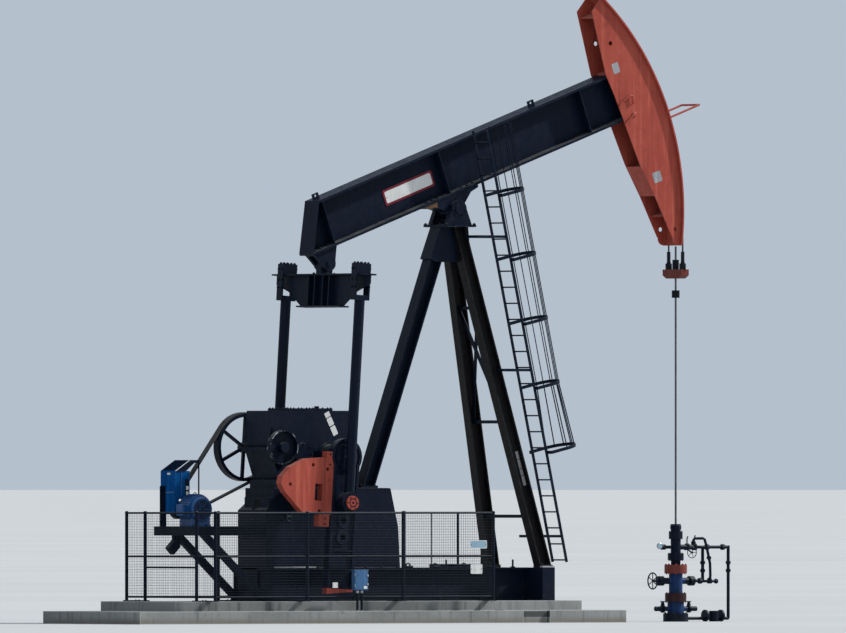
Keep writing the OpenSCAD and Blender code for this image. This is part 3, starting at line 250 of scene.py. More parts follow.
def painted(name, colours, zones=(), dust=0.35, wear=0.5, streaks=0.5, mud=0.5, rough=(0.38, 0.62),
        clean=None, shine=0.09):
    """Outdoor machine paint: faded and dusty on top, streaked down the sides, worn at its edges, where the
    pale primer is partly painted highlight.
    Zones repaint parts of it; clean is a mask that keeps dust off."""
    look = Look(name)
    look.shader.inputs["Specular IOR Level"].default_value = shine
    paint, faded = colours
    for mask_of, (zone_paint, zone_faded) in zones:
        mask = mask_of(look)
        paint = look.mix(mask, paint, zone_paint)
        faded = look.mix(mask, faded, zone_faded)
    broad = look.noise(0.7, 4)
    mottle = look.noise(7.0, 5, 0.65)
    fine = look.noise(120.0, 2)
    runs = look.noise(1.0, 4, 0.6, look.scaled(11, 11, 0.55))
    top = look.ramp(look.upward(), 0.25, 0.95)
    side = look.math("SUBTRACT", 1.0, top)

    # Fading, most of it on top
    fade = look.math("ADD", look.ramp(broad, 0.35, 0.75, 0.0, 0.45), look.times(top, 0.55))
    colour = look.mix(look.math("MINIMUM", fade, 1.0), paint, faded)
    colour = look.mix(look.ramp(mottle, 0.45, 0.80, 0.0, 0.35), colour, faded)

    # Pale and dark streaks down the sides, and blotches
    pale = look.times(look.ramp(runs, 0.49, 0.32, 0.0, streaks), side)
    colour = look.mix(pale, colour, faded)
    run = look.times(look.ramp(runs, 0.52, 0.78, 0.0, 0.60 * streaks), side)
    colour = look.mix(run, colour, GRIME)
    blotch = look.ramp(look.noise(3.2, 8, 0.72), 0.57, 0.67, 0.0, 0.55 * wear)
    colour = look.mix(blotch, colour, STAIN)

    # Dust on top, mud low down
    laid = look.times(top, look.ramp(mottle, 0.30, 0.70, 0.45 * dust, 1.15 * dust))
    if clean:
        laid = look.times(laid, look.math("SUBTRACT", 1.0, clean(look)))
    colour = look.mix(laid, colour, DUST)
    low = look.times(look.ramp(look.z, 0.95, 0.42), look.ramp(mottle, 0.35, 0.7, 0.1, 1.0))
    colour = look.mix(look.times(low, 0.45 * mud), colour, GRIME)

    # Pale primer at worn edges, which also stands in for painted edge highlights; spots of rust
    worn_and_lit_edges = look.times(look.edges(0.012), look.ramp(mottle, 0.42, 0.66))
    colour = look.mix(look.times(worn_and_lit_edges, wear), colour, PRIMER_AND_HIGHLIGHT)
    spots = look.ramp(look.noise(15.0, 8, 0.72), 0.655, 0.70, 0.0, wear)
    colour = look.mix(spots, colour, RUST)

    look.link(colour, look.shader.inputs["Base Color"])
    gloss = look.ramp(look.math("ADD", mottle, look.times(laid, 0.6)), 0.3, 0.9, *rough)
    look.link(look.math("ADD", gloss, look.times(spots, 0.3)), look.shader.inputs["Roughness"])
    height = look.math("ADD", look.times(fine, 0.35), look.times(mottle, 0.8))
    look.bump(look.math("SUBTRACT", height, look.times(spots, 0.7)), 0.35, 0.003)
    return look.material


def cracks(look, broad):
    """1 along the thin, bent cracks of the concrete, 0 elsewhere."""
    wave = look.node("ShaderNodeTexNoise")
    wave.inputs["Scale"].default_value = 2.2
    look.link(look.at, wave.inputs["Vector"])
    bent = look.node("ShaderNodeVectorMath", operation="ADD")
    look.link(look.at, bent.inputs[0])
    look.link(wave.outputs["Color"], bent.inputs[1])
    cell = look.node("ShaderNodeTexVoronoi", feature="DISTANCE_TO_EDGE")
    cell.inputs["Scale"].default_value = 0.55
    look.link(bent.outputs[0], cell.inputs["Vector"])
    line = look.ramp(cell.outputs["Distance"], 0.006, 0.001)
    return look.times(line, look.ramp(broad, 0.5, 0.6))


def concrete(name):
    """Cast concrete: mottled, pitted, stained along its edges and splashed with soil low down. Its tops and
    edges are made lighter as painted sunlight and painted highlights, and its recess nearly black as painted
    shade.
    """
    look = Look(name)
    broad = look.noise(0.55, 6, 0.6)
    grain = look.noise(38.0, 6, 0.7)
    pits = look.ramp(look.noise(60.0, 3, 0.6), 0.62, 0.70)
    runs = look.noise(1.0, 5, 0.6, look.scaled(7, 7, 0.8))
    top = look.ramp(look.upward(), 0.3, 0.9)
    side = look.math("SUBTRACT", 1.0, top)
    crack = cracks(look, broad)
    colour = look.mix(look.ramp(broad, 0.3, 0.7), (0.140, 0.148, 0.144), (0.245, 0.250, 0.240))
    colour = look.mix(look.ramp(grain, 0.40, 0.70, 0.0, 0.4), colour, (0.300, 0.295, 0.275))
    # Painted sunlight: upward faces are made lighter, as where the sun falls on the tops
    colour = look.mix(look.times(top, 0.35), colour, (0.330, 0.325, 0.300))
    stain = look.times(look.ramp(runs, 0.50, 0.72, 0.0, 0.65), side)
    colour = look.mix(stain, colour, (0.065, 0.069, 0.067))
    soil = look.times(look.ramp(look.z, 0.16, 0.0), look.ramp(broad, 0.3, 0.6, 0.3, 1.0))
    colour = look.mix(look.times(soil, 0.7), colour, (0.120, 0.098, 0.068))
    # Painted highlight: sharp edges are made much lighter, as where they catch the light
    colour = look.mix(look.times(look.edges(0.028), 0.75), colour, (0.520, 0.515, 0.480))
    colour = look.mix(look.times(crack, 0.8), colour, (0.06, 0.06, 0.055))
    # Painted shade: the slab's recess is made nearly black
    colour = look.mix(look.times(look.inside(*RECESS_SHADE), 0.85), colour, (0.020, 0.021, 0.024))
    look.link(colour, look.shader.inputs["Base Color"])
    look.link(look.ramp(grain, 0.3, 0.7, 0.78, 0.95), look.shader.inputs["Roughness"])
    height = look.math("SUBTRACT", grain, look.times(pits, 0.8))
    look.bump(look.math("SUBTRACT", height, crack), 0.6, 0.006)
    return look.material


def bare_metal(name, colours, rough=(0.25, 0.5), grime=0.4, scale=1.0, dark=None):
    """Bare or galvanised metal: brushed, spangled, grimy in patches; dark masks blackened parts."""
    look = Look(name)
    patch = look.noise(9.0 * scale, 5, 0.65)
    brushed = look.noise(1.0, 3, 0.6, look.scaled(260, 260, 9))
    colour = look.mix(look.ramp(patch, 0.3, 0.7), *colours)
    colour = look.mix(look.ramp(brushed, 0.3, 0.7, 0.0, 0.25), colour, tuple(1.6 * c for c in colours[1]))
    stain = look.ramp(look.noise(21.0 * scale, 6, 0.7), 0.52, 0.68, 0.0, grime)
    colour = look.mix(stain, colour, tuple(0.25 * c for c in colours[0]))
    if dark:
        colour = look.mix(dark(look), colour, ROPE[0])
    look.link(colour, look.shader.inputs["Base Color"])
    look.shader.inputs["Metallic"].default_value = 0.9
    dulled = look.math("ADD", look.ramp(patch, 0.3, 0.7, *rough), look.times(stain, 0.3))
    look.link(dulled, look.shader.inputs["Roughness"])
    look.bump(look.math("ADD", brushed, patch), 0.25, 0.0015)
    return look.material


def belt_rubber(name):
    """Dusty V-belts side by side, scuffed on their backs."""
    look = Look(name)
    strand = look.math("PINGPONG", look.math("ADD", look.y, 10.0), 0.0165)
    groove = look.ramp(strand, 0.0045, 0.0015)
    scuff = look.noise(30.0, 5, 0.7)
    colour = look.mix(look.ramp(scuff, 0.35, 0.75), (0.012, 0.012, 0.013), (0.050, 0.048, 0.045))
    colour = look.mix(look.times(groove, 0.8), colour, (0.004, 0.004, 0.004))
    look.link(colour, look.shader.inputs["Base Color"])
    look.link(look.ramp(scuff, 0.3, 0.7, 0.6, 0.85), look.shader.inputs["Roughness"])
    look.bump(look.math("SUBTRACT", look.times(scuff, 0.2), groove), 0.8, 0.004)
    return look.material


def studio_floor(name):
    """A plain pale floor, a little uneven in tone."""
    look = Look(name)
    tone = look.ramp(look.noise(0.05, 3), 0.3, 0.7)
    look.link(look.mix(tone, (0.390, 0.390, 0.385), (0.420, 0.420, 0.415)), look.shader.inputs["Base Color"])
    look.shader.inputs["Roughness"].default_value = 0.9
    return look.material


def zone(low, high, colours):
    """Another paint within a box of the rest position, for painted()."""
    return (lambda look: look.inside(low, high)), colours


def pale_rim_patches(look):
    """Patches of the brake drum's rim."""
    patches = look.ramp(look.noise(7.0, 4, 0.7), 0.53, 0.60)
    return look.times(look.away(INPUT_SHAFT, DRUM_RIM), patches)


def cap_groove(look):
    """A ring round the middle of each wrist pin's cap."""
    return look.math("SUBTRACT", look.away(WRIST, 0.062), look.away(WRIST, 0.086))


def cap_middle(look):
    """The middle of each wrist pin's cap."""
    return look.math("SUBTRACT", 1.0, look.away(WRIST, 0.026))


def beam_top(look):
    """The beam's upper flange."""
    return look.above(BEAM, 0.8)


def rod_clamps(look):
    """Whatever is thicker than the bare rod."""
    return look.away(Vector((WELL_X, 0, 0)), 0.026, True)


def well_zone(half, low, high, colours):
    """Another paint round the well's axis between two heights."""
    return zone((WELL_X - half, None, low), (WELL_X + half, None, high), colours)


def dress_cad():
    """Puts a node material on every CAD node, by its paint and where it is painted otherwise."""
    navy = painted("navy_paint", NAVY)
    red = painted("red_paint", RED, dust=0.35, wear=0.35, streaks=0.7)
    slab = concrete("cast_concrete")
    guard_blue = [zone((-5.915, 0.425, 2.005), (-5.565, 0.885, 2.812), BLUE)]
    box_blue = [zone((None, None, 0.612), (None, -1.4605, 0.99), BOX_BLUE)]
    tubing = [
        well_zone(0.18, 0.531, 0.899, WELL_BLUE),
        well_zone(0.18, None, 0.531, MAROON),
        zone((None, None, 0.899), (None, None, None), DULL_RED),
    ]
    casing = [well_zone(0.24, 0.151, 0.369, WELL_BLUE), well_zone(0.24, 0.369, None, MAROON)]
    sockets = [zone((None, None, 6.5702), (None, None, None), ROPE)]
    saddle_end = [zone((None, None, None), (-0.42, None, 7.80), OCHRE)]
    leg = painted("leg_paint", LEG_NAVY, wear=0.8, streaks=0.8)
    weight = painted("weight_paint", RED, dust=0.3, wear=1.0, streaks=0.9)
    looks = {
        "foundation_slab": slab,
        "foundation_plinth": slab,
        "walking_beam": painted("beam_paint", NAVY, clean=beam_top),
        "front_leg_near": leg,
        "front_leg_far": leg,
        "belt_guard": painted("guard_paint", NAVY, guard_blue, dust=0.0, shine=0.0),
        "junction_box": painted("junction_paint", NAVY, box_blue, dust=0.3),
        "motor": painted("blue_paint", BLUE, dust=0.2, rough=(0.22, 0.45), shine=0.5),
        "casing_head": painted("casing_paint", NAVY, casing, mud=1.0),
        "tubing_head": painted("tubing_paint", NAVY, tubing, mud=0.8),
        "brake_drum": painted("drum_paint", NAVY, [(pale_rim_patches, WORN_WHITE_AND_HIGHLIGHT)], streaks=0.3),
        "carrier_bar": painted("carrier_paint", DULL_RED, sockets, wear=0.7),
        "drive_belts": belt_rubber("belt_rubber"),
        "polished_rod": bare_metal("polished_steel", ROD, (0.20, 0.38), dark=rod_clamps),
        "counterweight_near": weight,
        "counterweight_far": weight,
        "saddle": painted("saddle_paint", NAVY, saddle_end),
        "wrist_pins": painted("wrist_paint", RED, [(cap_groove, NAVY), (cap_middle, NAVY)], dust=0.2),
    }
    for part in ("head_guard", "horsehead_cheek_near", "horsehead_cheek_far", "horsehead_face",
            "horsehead_frame"):
        looks[part] = red
    for name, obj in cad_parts.items():
        for slot in obj.material_slots:
            slot.material = looks.get(name, navy)
    return navy, red


# MESH PARTS


def ring(bm, place, radius, height, sides, phase=0.0):
    """The vertices of a circle across the place's z axis."""
    made = []
    for i in range(sides):
        a = phase + 2 * math.pi * i / sides
        made.append(bm.verts.new(place @ Vector((radius * math.cos(a), radius * math.sin(a), height))))
    return made


def skin(bm, low, high, kind=0):
    """The faces between two loops of vertices; kind is the material's place in the piece's list."""
    count = len(low)
    for i in range(count):
        j = (i + 1) % count
        bm.faces.new((low[i], low[j], high[j], high[i])).material_index = kind


def lathe(bm, place, profile, sides, kind=0, phase=0.0):
    """A closed turned form along the place's z axis, from its (radius, height) profile."""
    rings = [ring(bm, place, r, h, sides, phase) for r, h in profile]
    for low, high in zip(rings, rings[1:]):
        skin(bm, low, high, kind)
    bm.faces.new(rings[0][::-1]).material_index = kind
    bm.faces.new(rings[-1]).material_index = kind


def outward(side):
    """The aim that points away from the machine's middle, for a side of -1 (near) or 1 (far)."""
    return "+y" if side > 0 else "-y"


def bolt(bm, place, at, aim, size, kind=0):
    """A hexagon nut on its washer, with the end of its stud; size is half the nut's width."""
    here = place @ shift(at) @ AIMS[aim]
    washer = [(1.3 * size, -0.002), (1.3 * size, 0.16 * size)]
    nut = [(1.12 * size, 0.1 * size), (1.12 * size, 0.78 * size), (0.95 * size, 0.92 * size)]
    stud = [(0.55 * size, 0.8 * size), (0.55 * size, 1.25 * size), (0.42 * size, 1.38 * size)]
    turned = at[0] * 7 + at[2] * 5
    lathe(bm, here, washer, 14, kind)
    lathe(bm, here, nut, 6, kind, turned)
    lathe(bm, here, stud, 8, kind)


def bolt_circle(bm, place, centre, aim, radius, count, size, kind=0, phase=0.0):
    """Bolts evenly round a centre."""
    for i in range(count):
        a = phase + 2 * math.pi * i / count
        u, v = radius * math.cos(a), radius * math.sin(a)
        offset = {"x": (0, u, v), "y": (u, 0, v), "z": (u, v, 0)}[aim[1]]
        bolt(bm, place, Vector(centre) + Vector(offset), aim, size, kind)


def slab_box(bm, place, low, high, chamfer=0.003, kind=0):
    """A box with chamfered edges between two opposite corners."""
    low, high = Vector(low), Vector(high)
    middle, size = (low + high) / 2, high - low
    made = bmesh.ops.create_cube(bm, size=1, matrix=place @ shift(middle)
        @ Matrix.Diagonal((*size, 1)))["verts"]
    edges = {e for v in made for e in v.link_edges}
    cut = min(chamfer, min(size) * 0.3)
    out = bmesh.ops.bevel(bm, geom=list(edges), offset=cut, segments=1, affect="EDGES")
    for face in {f for v in out["verts"] for f in v.link_faces}:
        face.material_index = kind


def tube(bm, points, radius, sides, place=HERE, kind=0, lobes=0, twist=0.0):
    """A round bar along points. Lobes and a twist in radians per metre make it a laid rope."""
    points = [place @ Vector(p) for p in points]
    side = (points[1] - points[0]).orthogonal().normalized()
    rings, run = [], 0.0
    for i, p in enumerate(points):
        along = (points[min(i + 1, len(points) - 1)] - points[max(i - 1, 0)]).normalized()
        side = (side - along * side.dot(along)).normalized()
        up = along.cross(side)
        run += (p - points[i - 1]).length if i else 0.0
        loop = []
        for k in range(sides):
            a = 2 * math.pi * k / sides
            r = radius * (1 - 0.16 * (1 - math.cos(lobes * a)) / 2) if lobes else radius
            a += twist * run
            loop.append(bm.verts.new(p + side * (r * math.cos(a)) + up * (r * math.sin(a))))
        rings.append(loop)
    for low, high in zip(rings, rings[1:]):
        skin(bm, low, high, kind)
    bm.faces.new(rings[0][::-1]).material_index = kind
    bm.faces.new(rings[-1]).material_index = kind


def piece(name, bm, body, materials, smooth=False):
    """Turns a bmesh into an object that rides on a body."""
    bmesh.ops.recalc_face_normals(bm, faces=bm.faces)
    mesh = bpy.data.meshes.new(name)
    bm.to_mesh(mesh)
    bm.free()
    for material in materials:
        mesh.materials.append(material)
    if smooth:
        mesh.shade_smooth()
    obj = bpy.data.objects.new(name, mesh)
    bpy.context.scene.collection.objects.link(obj)
    if body:
        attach(obj, body)
    return obj


def spread(start, end, pitch):
    """Even steps from start to end, about a pitch apart."""
    count = max(1, round(abs(end - start) / pitch))
    return [start + (end - start) * i / count for i in range(count + 1)]


def arc(centre, radius, start, end, steps, axis="y"):
    """Points on an arc in degrees; about y the angle rises from +x to +z, about z from +x to +y."""
    points = []
    for angle in spread(math.radians(start), math.radians(end), abs(math.radians(end - start)) / steps):
        u, v = radius * math.cos(angle), radius * math.sin(angle)
        points.append(Vector(centre) + Vector((u, 0, v) if axis == "y" else (u, v, 0)))
    return points


def bare_plate(bm, place, width, height, thick, rim=0.0, kind=0, rim_kind=1):
    """A thin plate with rounded corners, lying on the place's xy plane, with a raised rim if asked."""
    outer, inner = [], []
    for cx, cy, start in ((1, 1, 0), (-1, 1, 90), (-1, -1, 180), (1, -1, 270)):
        r = 0.12 * min(width, height)
        for step in range(5):
            a = math.radians(start + 22.5 * step)
            corner = Vector((cx * (width / 2 - r), cy * (height / 2 - r), 0))
            point = corner + Vector((r * math.cos(a), r * math.sin(a), 0))
            outer.append(point)
            inner.append(Vector((point.x * (1 - 2 * rim / width), point.y * (1 - 2 * rim / height), 0)))
    up = Vector((0, 0, thick))
    levels = [[bm.verts.new(place @ p) for p in outer], [bm.verts.new(place @ (p + up)) for p in outer]]
    skin(bm, levels[0], levels[1], rim_kind if rim else kind)
    bm.faces.new(levels[0][::-1]).material_index = kind
    if rim:
        edge = [bm.verts.new(place @ (p + up)) for p in inner]
        floor = [bm.verts.new(place @ (p + up * 0.6)) for p in inner]
        skin(bm, levels[1], edge, rim_kind)
        skin(bm, edge, floor, rim_kind)
        bm.faces.new(floor).material_index = kind
    else:
        bm.faces.new(levels[1]).material_index = kind


# PIECES


def skid_nuts(bm, side):
    """Nuts of the skid's hold-downs, of the pedestal on it and of the front legs' feet."""
    for x in spread(-4.45, 1.3, 0.92):
        for y in (0.345, 0.515):
            bolt(bm, HERE, (x, side * y, PLINTH_Z + 0.032), "+z", 0.030)
    for x in spread(-4.40, -1.55, 0.38):
        bolt(bm, HERE, (x, side * 0.505, SKID_TOP), "+z", 0.022)
    for x in (1.465, 1.595):
        for y in (0.765, 0.895):
            bolt(bm, HERE, (x, side * y, SKID_TOP + 0.05), "+z", 0.020)


def reducer_nuts(bm, side):
    """Nuts along one side of the gear reducer: its seam, its cover and the middle shaft's cap."""
    caps = ((CRANKSHAFT, 0.24), (INPUT_SHAFT, 0.20), (MID_SHAFT, 0.21))
    for x in spread(GEARBOX_X[0] + 0.03, GEARBOX_X[1] - 0.03, 0.11):
        if all(abs(x - shaft.x) >= reach for shaft, reach in caps):
            bolt(bm, HERE, (x, side * 0.436, GEARBOX_SEAM + SEAM_HALF), "+z", 0.011)
            bolt(bm, HERE, (x, side * 0.436, GEARBOX_SEAM - SEAM_HALF), "-z", 0.011)
    for x in spread(COVER_X[0], COVER_X[1], 0.17):
        bolt(bm, HERE, (x, side * 0.335, COVER_TOP), "+z", 0.014)
    bolt_circle(bm, HERE, (MID_SHAFT.x, side * 0.46, MID_SHAFT.z), outward(side), 0.165, 8, 0.014)


def reducer_end_nuts(bm):
    """Nuts across the gear reducer's ends, and those of the far cap of the input shaft."""
    bolt_circle(bm, HERE, (INPUT_SHAFT.x, 0.46, INPUT_SHAFT.z), "+y", 0.140, 8, 0.013)
    for y in spread(-0.36, 0.36, 0.12):
        for x in (GEARBOX_X[0] - 0.012, GEARBOX_X[1] + 0.013):
            bolt(bm, HERE, (x, y, GEARBOX_SEAM + SEAM_HALF), "+z", 0.010)
    for y in spread(-0.24, 0.24, 0.16):
        for x in COVER_X:
            bolt(bm, HERE, (x, y, COVER_TOP), "+z", 0.014)
        bolt(bm, HERE, (GEARBOX_X[0] + 0.206, y, PEDESTAL_TOP + 0.16), "+z", 0.014)


def post_nuts(bm, side):
    """Nuts of the post head, of the centre bearing's cap and of the rear leg's foot."""
    for x in (-0.315, 0.315):
        for y in (0.12, 0.335):
            bolt(bm, HERE, (x, side * y, POST_TOP), "+z", 0.026)
    bolt_circle(bm, HERE, (0, side * 0.3103, SADDLE_Z), outward(side), 0.130, 6, 0.014)
    for x in (-2.093, -1.777):
        bolt(bm, HERE, (x, side * 0.09, PEDESTAL_TOP + 0.05), "+z", 0.024)


def root_bolts(navy):
    """Nuts of the skid, the pedestal, the gear reducer and the post."""
    bm = bmesh.new()
    for side in SIDES:
        skid_nuts(bm, side)
        reducer_nuts(bm, side)
        post_nuts(bm, side)
    reducer_end_nuts(bm)
    return piece("root_bolts", bm, "root", [navy])


def beam_bolts(navy):
    """Nuts of the saddle and of the tail bearing under the beam."""
    bm = bmesh.new()
    for side in SIDES:
        for x in (-0.55, -0.42, -0.29, 0.29, 0.42, 0.55):
            bolt(bm, BEAM, (x, side * 0.15, BEAM_FLANGE), "+z", 0.026)
        for x in (-3.22, -3.08, -2.94, -2.81):
            bolt(bm, BEAM, (x, side * 0.12, BEAM_FLANGE), "+z", 0.024)
    return piece("beam_bolts", bm, "beam", [navy])


def pitman_bolts(navy):
    """Nuts of the pitmans' heads, of the equalizer's bearing and of the wrist pins' caps."""
    bm = bmesh.new()
    for side in SIDES:
        for y in (side * PITMAN_Y - 0.05, side * PITMAN_Y + 0.05):
            for z in (-0.10, -0.30, -0.44):
                bolt(bm, PITMANS, (0.1603, y, z), "+x", 0.020)
                bolt(bm, PITMANS, (-0.1603, y, z), "-x", 0.020)
            for x in (-0.118, -0.045, 0.045, 0.118):
                bolt(bm, PITMANS, (x, y, -0.005), "+z", 0.024)
        for x in (-0.08, 0.08):
            bolt(bm, PITMANS, (x, side * 0.215, -0.195), "+z", 0.022)
        bolt_circle(bm, PITMANS, (0, side * 1.331, -PITMAN_DROP), outward(side), 0.108, 6, 0.010)
    return piece("pitman_bolts", bm, "pitmans", [navy])


def crank_bolts(navy, white):
    """Nuts on the crank hubs and weights, and a white disc on each end of the crankshaft, a painted
    highlight for the glint at its centre.
    """
    bm = bmesh.new()
    painted_glint = [(0.034, -0.001), (0.034, 0.004), (0.012, 0.009)]
    for side in SIDES:
        aim = outward(side)
        bolt_circle(bm, CRANKS, (0, side * 1.0605, 0), aim, 0.185, 8, 0.013, 0, 0.2)
        for x, z in ((0.375, 0.02), (0.375, -0.17), (0.42, -1.17), (0.42, -1.27)):
            bolt(bm, CRANKS, (side * x, side * 1.058, z), aim, 0.015)
        # Painted highlight: a white disc for the glint on each crankshaft end
        lathe(bm, CRANKS @ shift((0, side * 1.0602, 0)) @ AIMS[aim], painted_glint, 20, 1)
    return piece("crank_bolts", bm, "cranks", [navy, white])


def fence_wires(navy):
    """The welded wire mesh of the three fence panels, and the two middle bars of the far one."""
    bm = bmesh.new()
    off, r, pitch = 0.032, 0.0016, 0.05
    low, high = FENCE_Z[0] + 0.01, FENCE_Z[1] - 0.01
    for side, far in ((-1, FENCE_X[1]), (1, FENCE_X[2])):
        y = side * (FENCE_Y + off)
        for x in spread(FENCE_X[0], far, pitch):
            tube(bm, [(x, y, low), (x, y, high)], r, 5)
        for z in spread(low, high, pitch):
            tube(bm, [(FENCE_X[0], y + side * r, z), (far, y + side * r, z)], r, 5)
    x = FENCE_X[0] - off
    for y in spread(-FENCE_Y, FENCE_Y, pitch):
        tube(bm, [(x, y, low), (x, y, high)], r, 5)
    for z in spread(low, high, pitch):
        tube(bm, [(x - r, -FENCE_Y, z), (x - r, FENCE_Y, z)], r, 5)
    for x, radius in ((0.596, 0.010), (1.195, 0.022)):
        tube(bm, [(x, FENCE_Y, FENCE_Z[0]), (x, FENCE_Y, FENCE_Z[1])], radius, 10)
    return piece("fence_wires", bm, "root", [navy])


def beam_sign(white, crimson):
    """The beam's bare sign with its border."""
    bm = bmesh.new()
    face = BEAM @ shift((-0.765, -0.0125, 0.685)) @ AIMS["-y"]
    bare_plate(bm, face, 1.18, 0.305, 0.008, 0.040)
    for x in (-1.27, -0.26):
        bolt(bm, BEAM, (x, -0.020, 0.685), "-y", 0.007)
    return piece("beam_sign", bm, "beam", [white, crimson])


def head_stickers(worn_white_and_highlight):
    """The two bare stickers on the horsehead's near cheek."""
    bm = bmesh.new()
    for x, z, width, height in ((4.297, 1.267, 0.15, 0.20), (4.509, -0.954, 0.19, 0.20)):
        bare_plate(bm, BEAM @ shift((x, -0.2452, z)) @ AIMS["-y"], width, height, 0.002)
    return piece("head_stickers", bm, "beam", [worn_white_and_highlight])


def head_latches(red):
    """The two bent latch rods on each cheek of the horsehead, and the button under the lower one."""
    upper = ((3.685, 9.623), (3.912, 9.808), (3.975, 9.790), (4.002, 9.660))
    lower = ((3.821, 9.271), (3.990, 9.430), (4.060, 9.456))
    button = [(0.048, -0.001), (0.048, 0.014), (0.036, 0.020)]
    bm = bmesh.new()
    for side in SIDES:
        for route in (upper, lower):
            first, last = [(x, side * 0.240, z) for x, z in (route[0], route[-1])]
            tube(bm, [first] + [(x, side * 0.276, z) for x, z in route] + [last], 0.014, 8)
        lathe(bm, shift((4.040, side * 0.243, 9.450)) @ AIMS[outward(side)], button, 20)
    return piece("head_latches", bm, "beam", [red])


def laid_ropes(rope, navy):
    """The bridle ropes laid round the head's face, up to their anchors."""
    bm = bmesh.new()
    turned = BEAM @ Matrix.Rotation(-math.radians(WRAP_END), 4, "Y")
    for side in SIDES:
        y = side * WIRE_Y
        points = [(p.x, y, p.z) for p in arc((0, 0, 0), WELL_X, WRAP_START, WRAP_END, 540)]
        tube(bm, points, WIRE_R, 12, BEAM, 0, ROPE_LOBES, ROPE_TWIST)
        sleeve = [(p.x, y, p.z) for p in arc((0, 0, 0), WELL_X, WRAP_END + 0.02, WRAP_END + 0.9, 3)]
        tube(bm, points[-1:] + sleeve, WIRE_R * 1.5, 12, BEAM)
        slab_box(bm, turned, (5.1503, y - 0.045, 0), (5.2303, y + 0.045, 0.09), 0.006, 1)
        bolt(bm, turned, (5.2303, y, 0.045), "+x", 0.016, 1)
    laid = piece("bridle_laid", bm, "beam", [rope, navy], True)
    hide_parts("bridle_wrapped")
    return laid


def hanging_ropes(rope):
    """The bridle ropes hanging from the head to the carrier bar, which pulls them out as it goes down."""
    bm = bmesh.new()
    for side in SIDES:
        points = [(WELL_X, side * WIRE_Y, z) for z in spread(6.9, 7.6597, 0.008)]
        tube(bm, points, WIRE_R, 12, HERE, 0, ROPE_LOBES, ROPE_TWIST)
    hanging = piece("bridle_hanging", bm, None, [rope], True)
    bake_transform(hanging)
    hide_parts("bridle_wires")
    return hanging


def socket_links(rope):
    """The rope sockets and their forked links down to the carrier bar."""
    bm = bmesh.new()
    socket = [(0.026, 0), (0.030, 0.02), (0.030, 0.07), (0.022, 0.10)]
    for side in SIDES:
        y = side * WIRE_Y
        for dy in (-0.075, 0.075):
            link = ((0, 6.84), (0.5 * dy, 6.72), (dy, 6.60), (dy, 6.55))
            tube(bm, [(WELL_X, y + out, z) for out, z in link], 0.013, 8)
        lathe(bm, shift((WELL_X, y, 6.80)), socket, 14)
    return piece("socket_links", bm, "carrier", [rope])


def motor_fins(bm):
    """Cooling fins round the motor, but for its feet and its terminal box."""
    for i in range(44):
        angle = 360 * i / 44
        if not (140 < angle < 220 or 252 < angle < 292):
            turned = shift(MOTOR_SHAFT) @ Matrix.Rotation(math.radians(angle), 4, "Y")
            slab_box(bm, turned, (-0.003, 0.045, 0.255), (0.003, 0.335, 0.284), 0.001)


def fan_cowl(bm):
    """The fan cowl, with a navy disc in its opening as painted shade for the hollow behind a grille of rings
    and spokes.
    """
    cowl = shift(MOTOR_SHAFT + Vector((0, -0.03, 0))) @ AIMS["-y"]
    lathe(bm, cowl, [(0.2285, -0.05), (0.2285, 0.006), (0.214, 0.018), (0.19, 0.022)], 48)
    # Painted shade: a navy disc fills the cowl's opening
    lathe(bm, cowl, [(0.186, 0.021), (0.186, 0.0235)], 48, 1)
    for radius in (0.045, 0.075, 0.105, 0.135, 0.165):
        circle = [(p.x, p.y, 0.026) for p in arc((0, 0, 0), radius, 0, 360, 36, "z")]
        tube(bm, circle, 0.0032, 6, cowl)
    for i in range(6):
        u, v = math.cos(math.radians(60 * i)), math.sin(math.radians(60 * i))
        tube(bm, [(0.02 * u, 0.02 * v, 0.026), (0.19 * u, 0.19 * v, 0.026)], 0.004, 6, cowl)


def motor_details(blue, navy):
    """Fins, fan cowl, terminal box lid, feet and lifting eye of the motor."""
    bm = bmesh.new()
    motor_fins(bm)
    fan_cowl(bm)
    slab_box(bm, HERE, (-5.969, 0.094, 1.984), (-5.954, 0.296, 2.196), 0.004)
    for y in (0.11, 0.28):
        for z in (2.0, 2.18):
            bolt(bm, HERE, (-5.969, y, z), "-x", 0.007)
    for x in (-5.80, -5.52):
        slab_box(bm, HERE, (x, -0.075, 1.7905), (x + 0.08, -0.008, 1.815), 0.003)
        slab_box(bm, HERE, (x, 0.388, 1.7905), (x + 0.08, 0.425, 1.815), 0.003)
        bolt(bm, HERE, (x + 0.04, -0.042, 1.815), "+z", 0.014)
    tube(bm, arc((-5.62, 0.19, 2.372), 0.036, 0, 180, 12), 0.009, 8)
    return piece("motor_details", bm, "root", [blue, navy])


def guard_plates(bm):
    """Small bare plates on the belt guard's blue case."""
    for low in (2.36, 2.46):
        slab_box(bm, HERE, (-5.66, 0.405, low), (-5.61, GUARD_NEAR, low + 0.07), 0.003, 1)
    slab_box(bm, HERE, (-5.84, 0.424, 2.03), (-5.74, GUARD_NEAR, 2.10), 0.003, 1)
    slab_box(bm, HERE, (-5.917, 0.56, 2.74), (-5.909, 0.66, 2.775), 0.003, 1)


def guard_gusset(bm):
    """The dark gusset between the guard's case and its hood, on the near side."""
    outline = ((-5.896, 2.792), (-5.558, 3.006), (-5.358, 3.006), (-5.358, 2.955), (-5.470, 2.955),
        (-5.660, 2.804))
    faces = [[bm.verts.new((x, y, z)) for x, z in outline] for y in (0.421, 0.431)]
    skin(bm, faces[0], faces[1], 2)
    for face in faces:
        bm.faces.new(face).material_index = 2


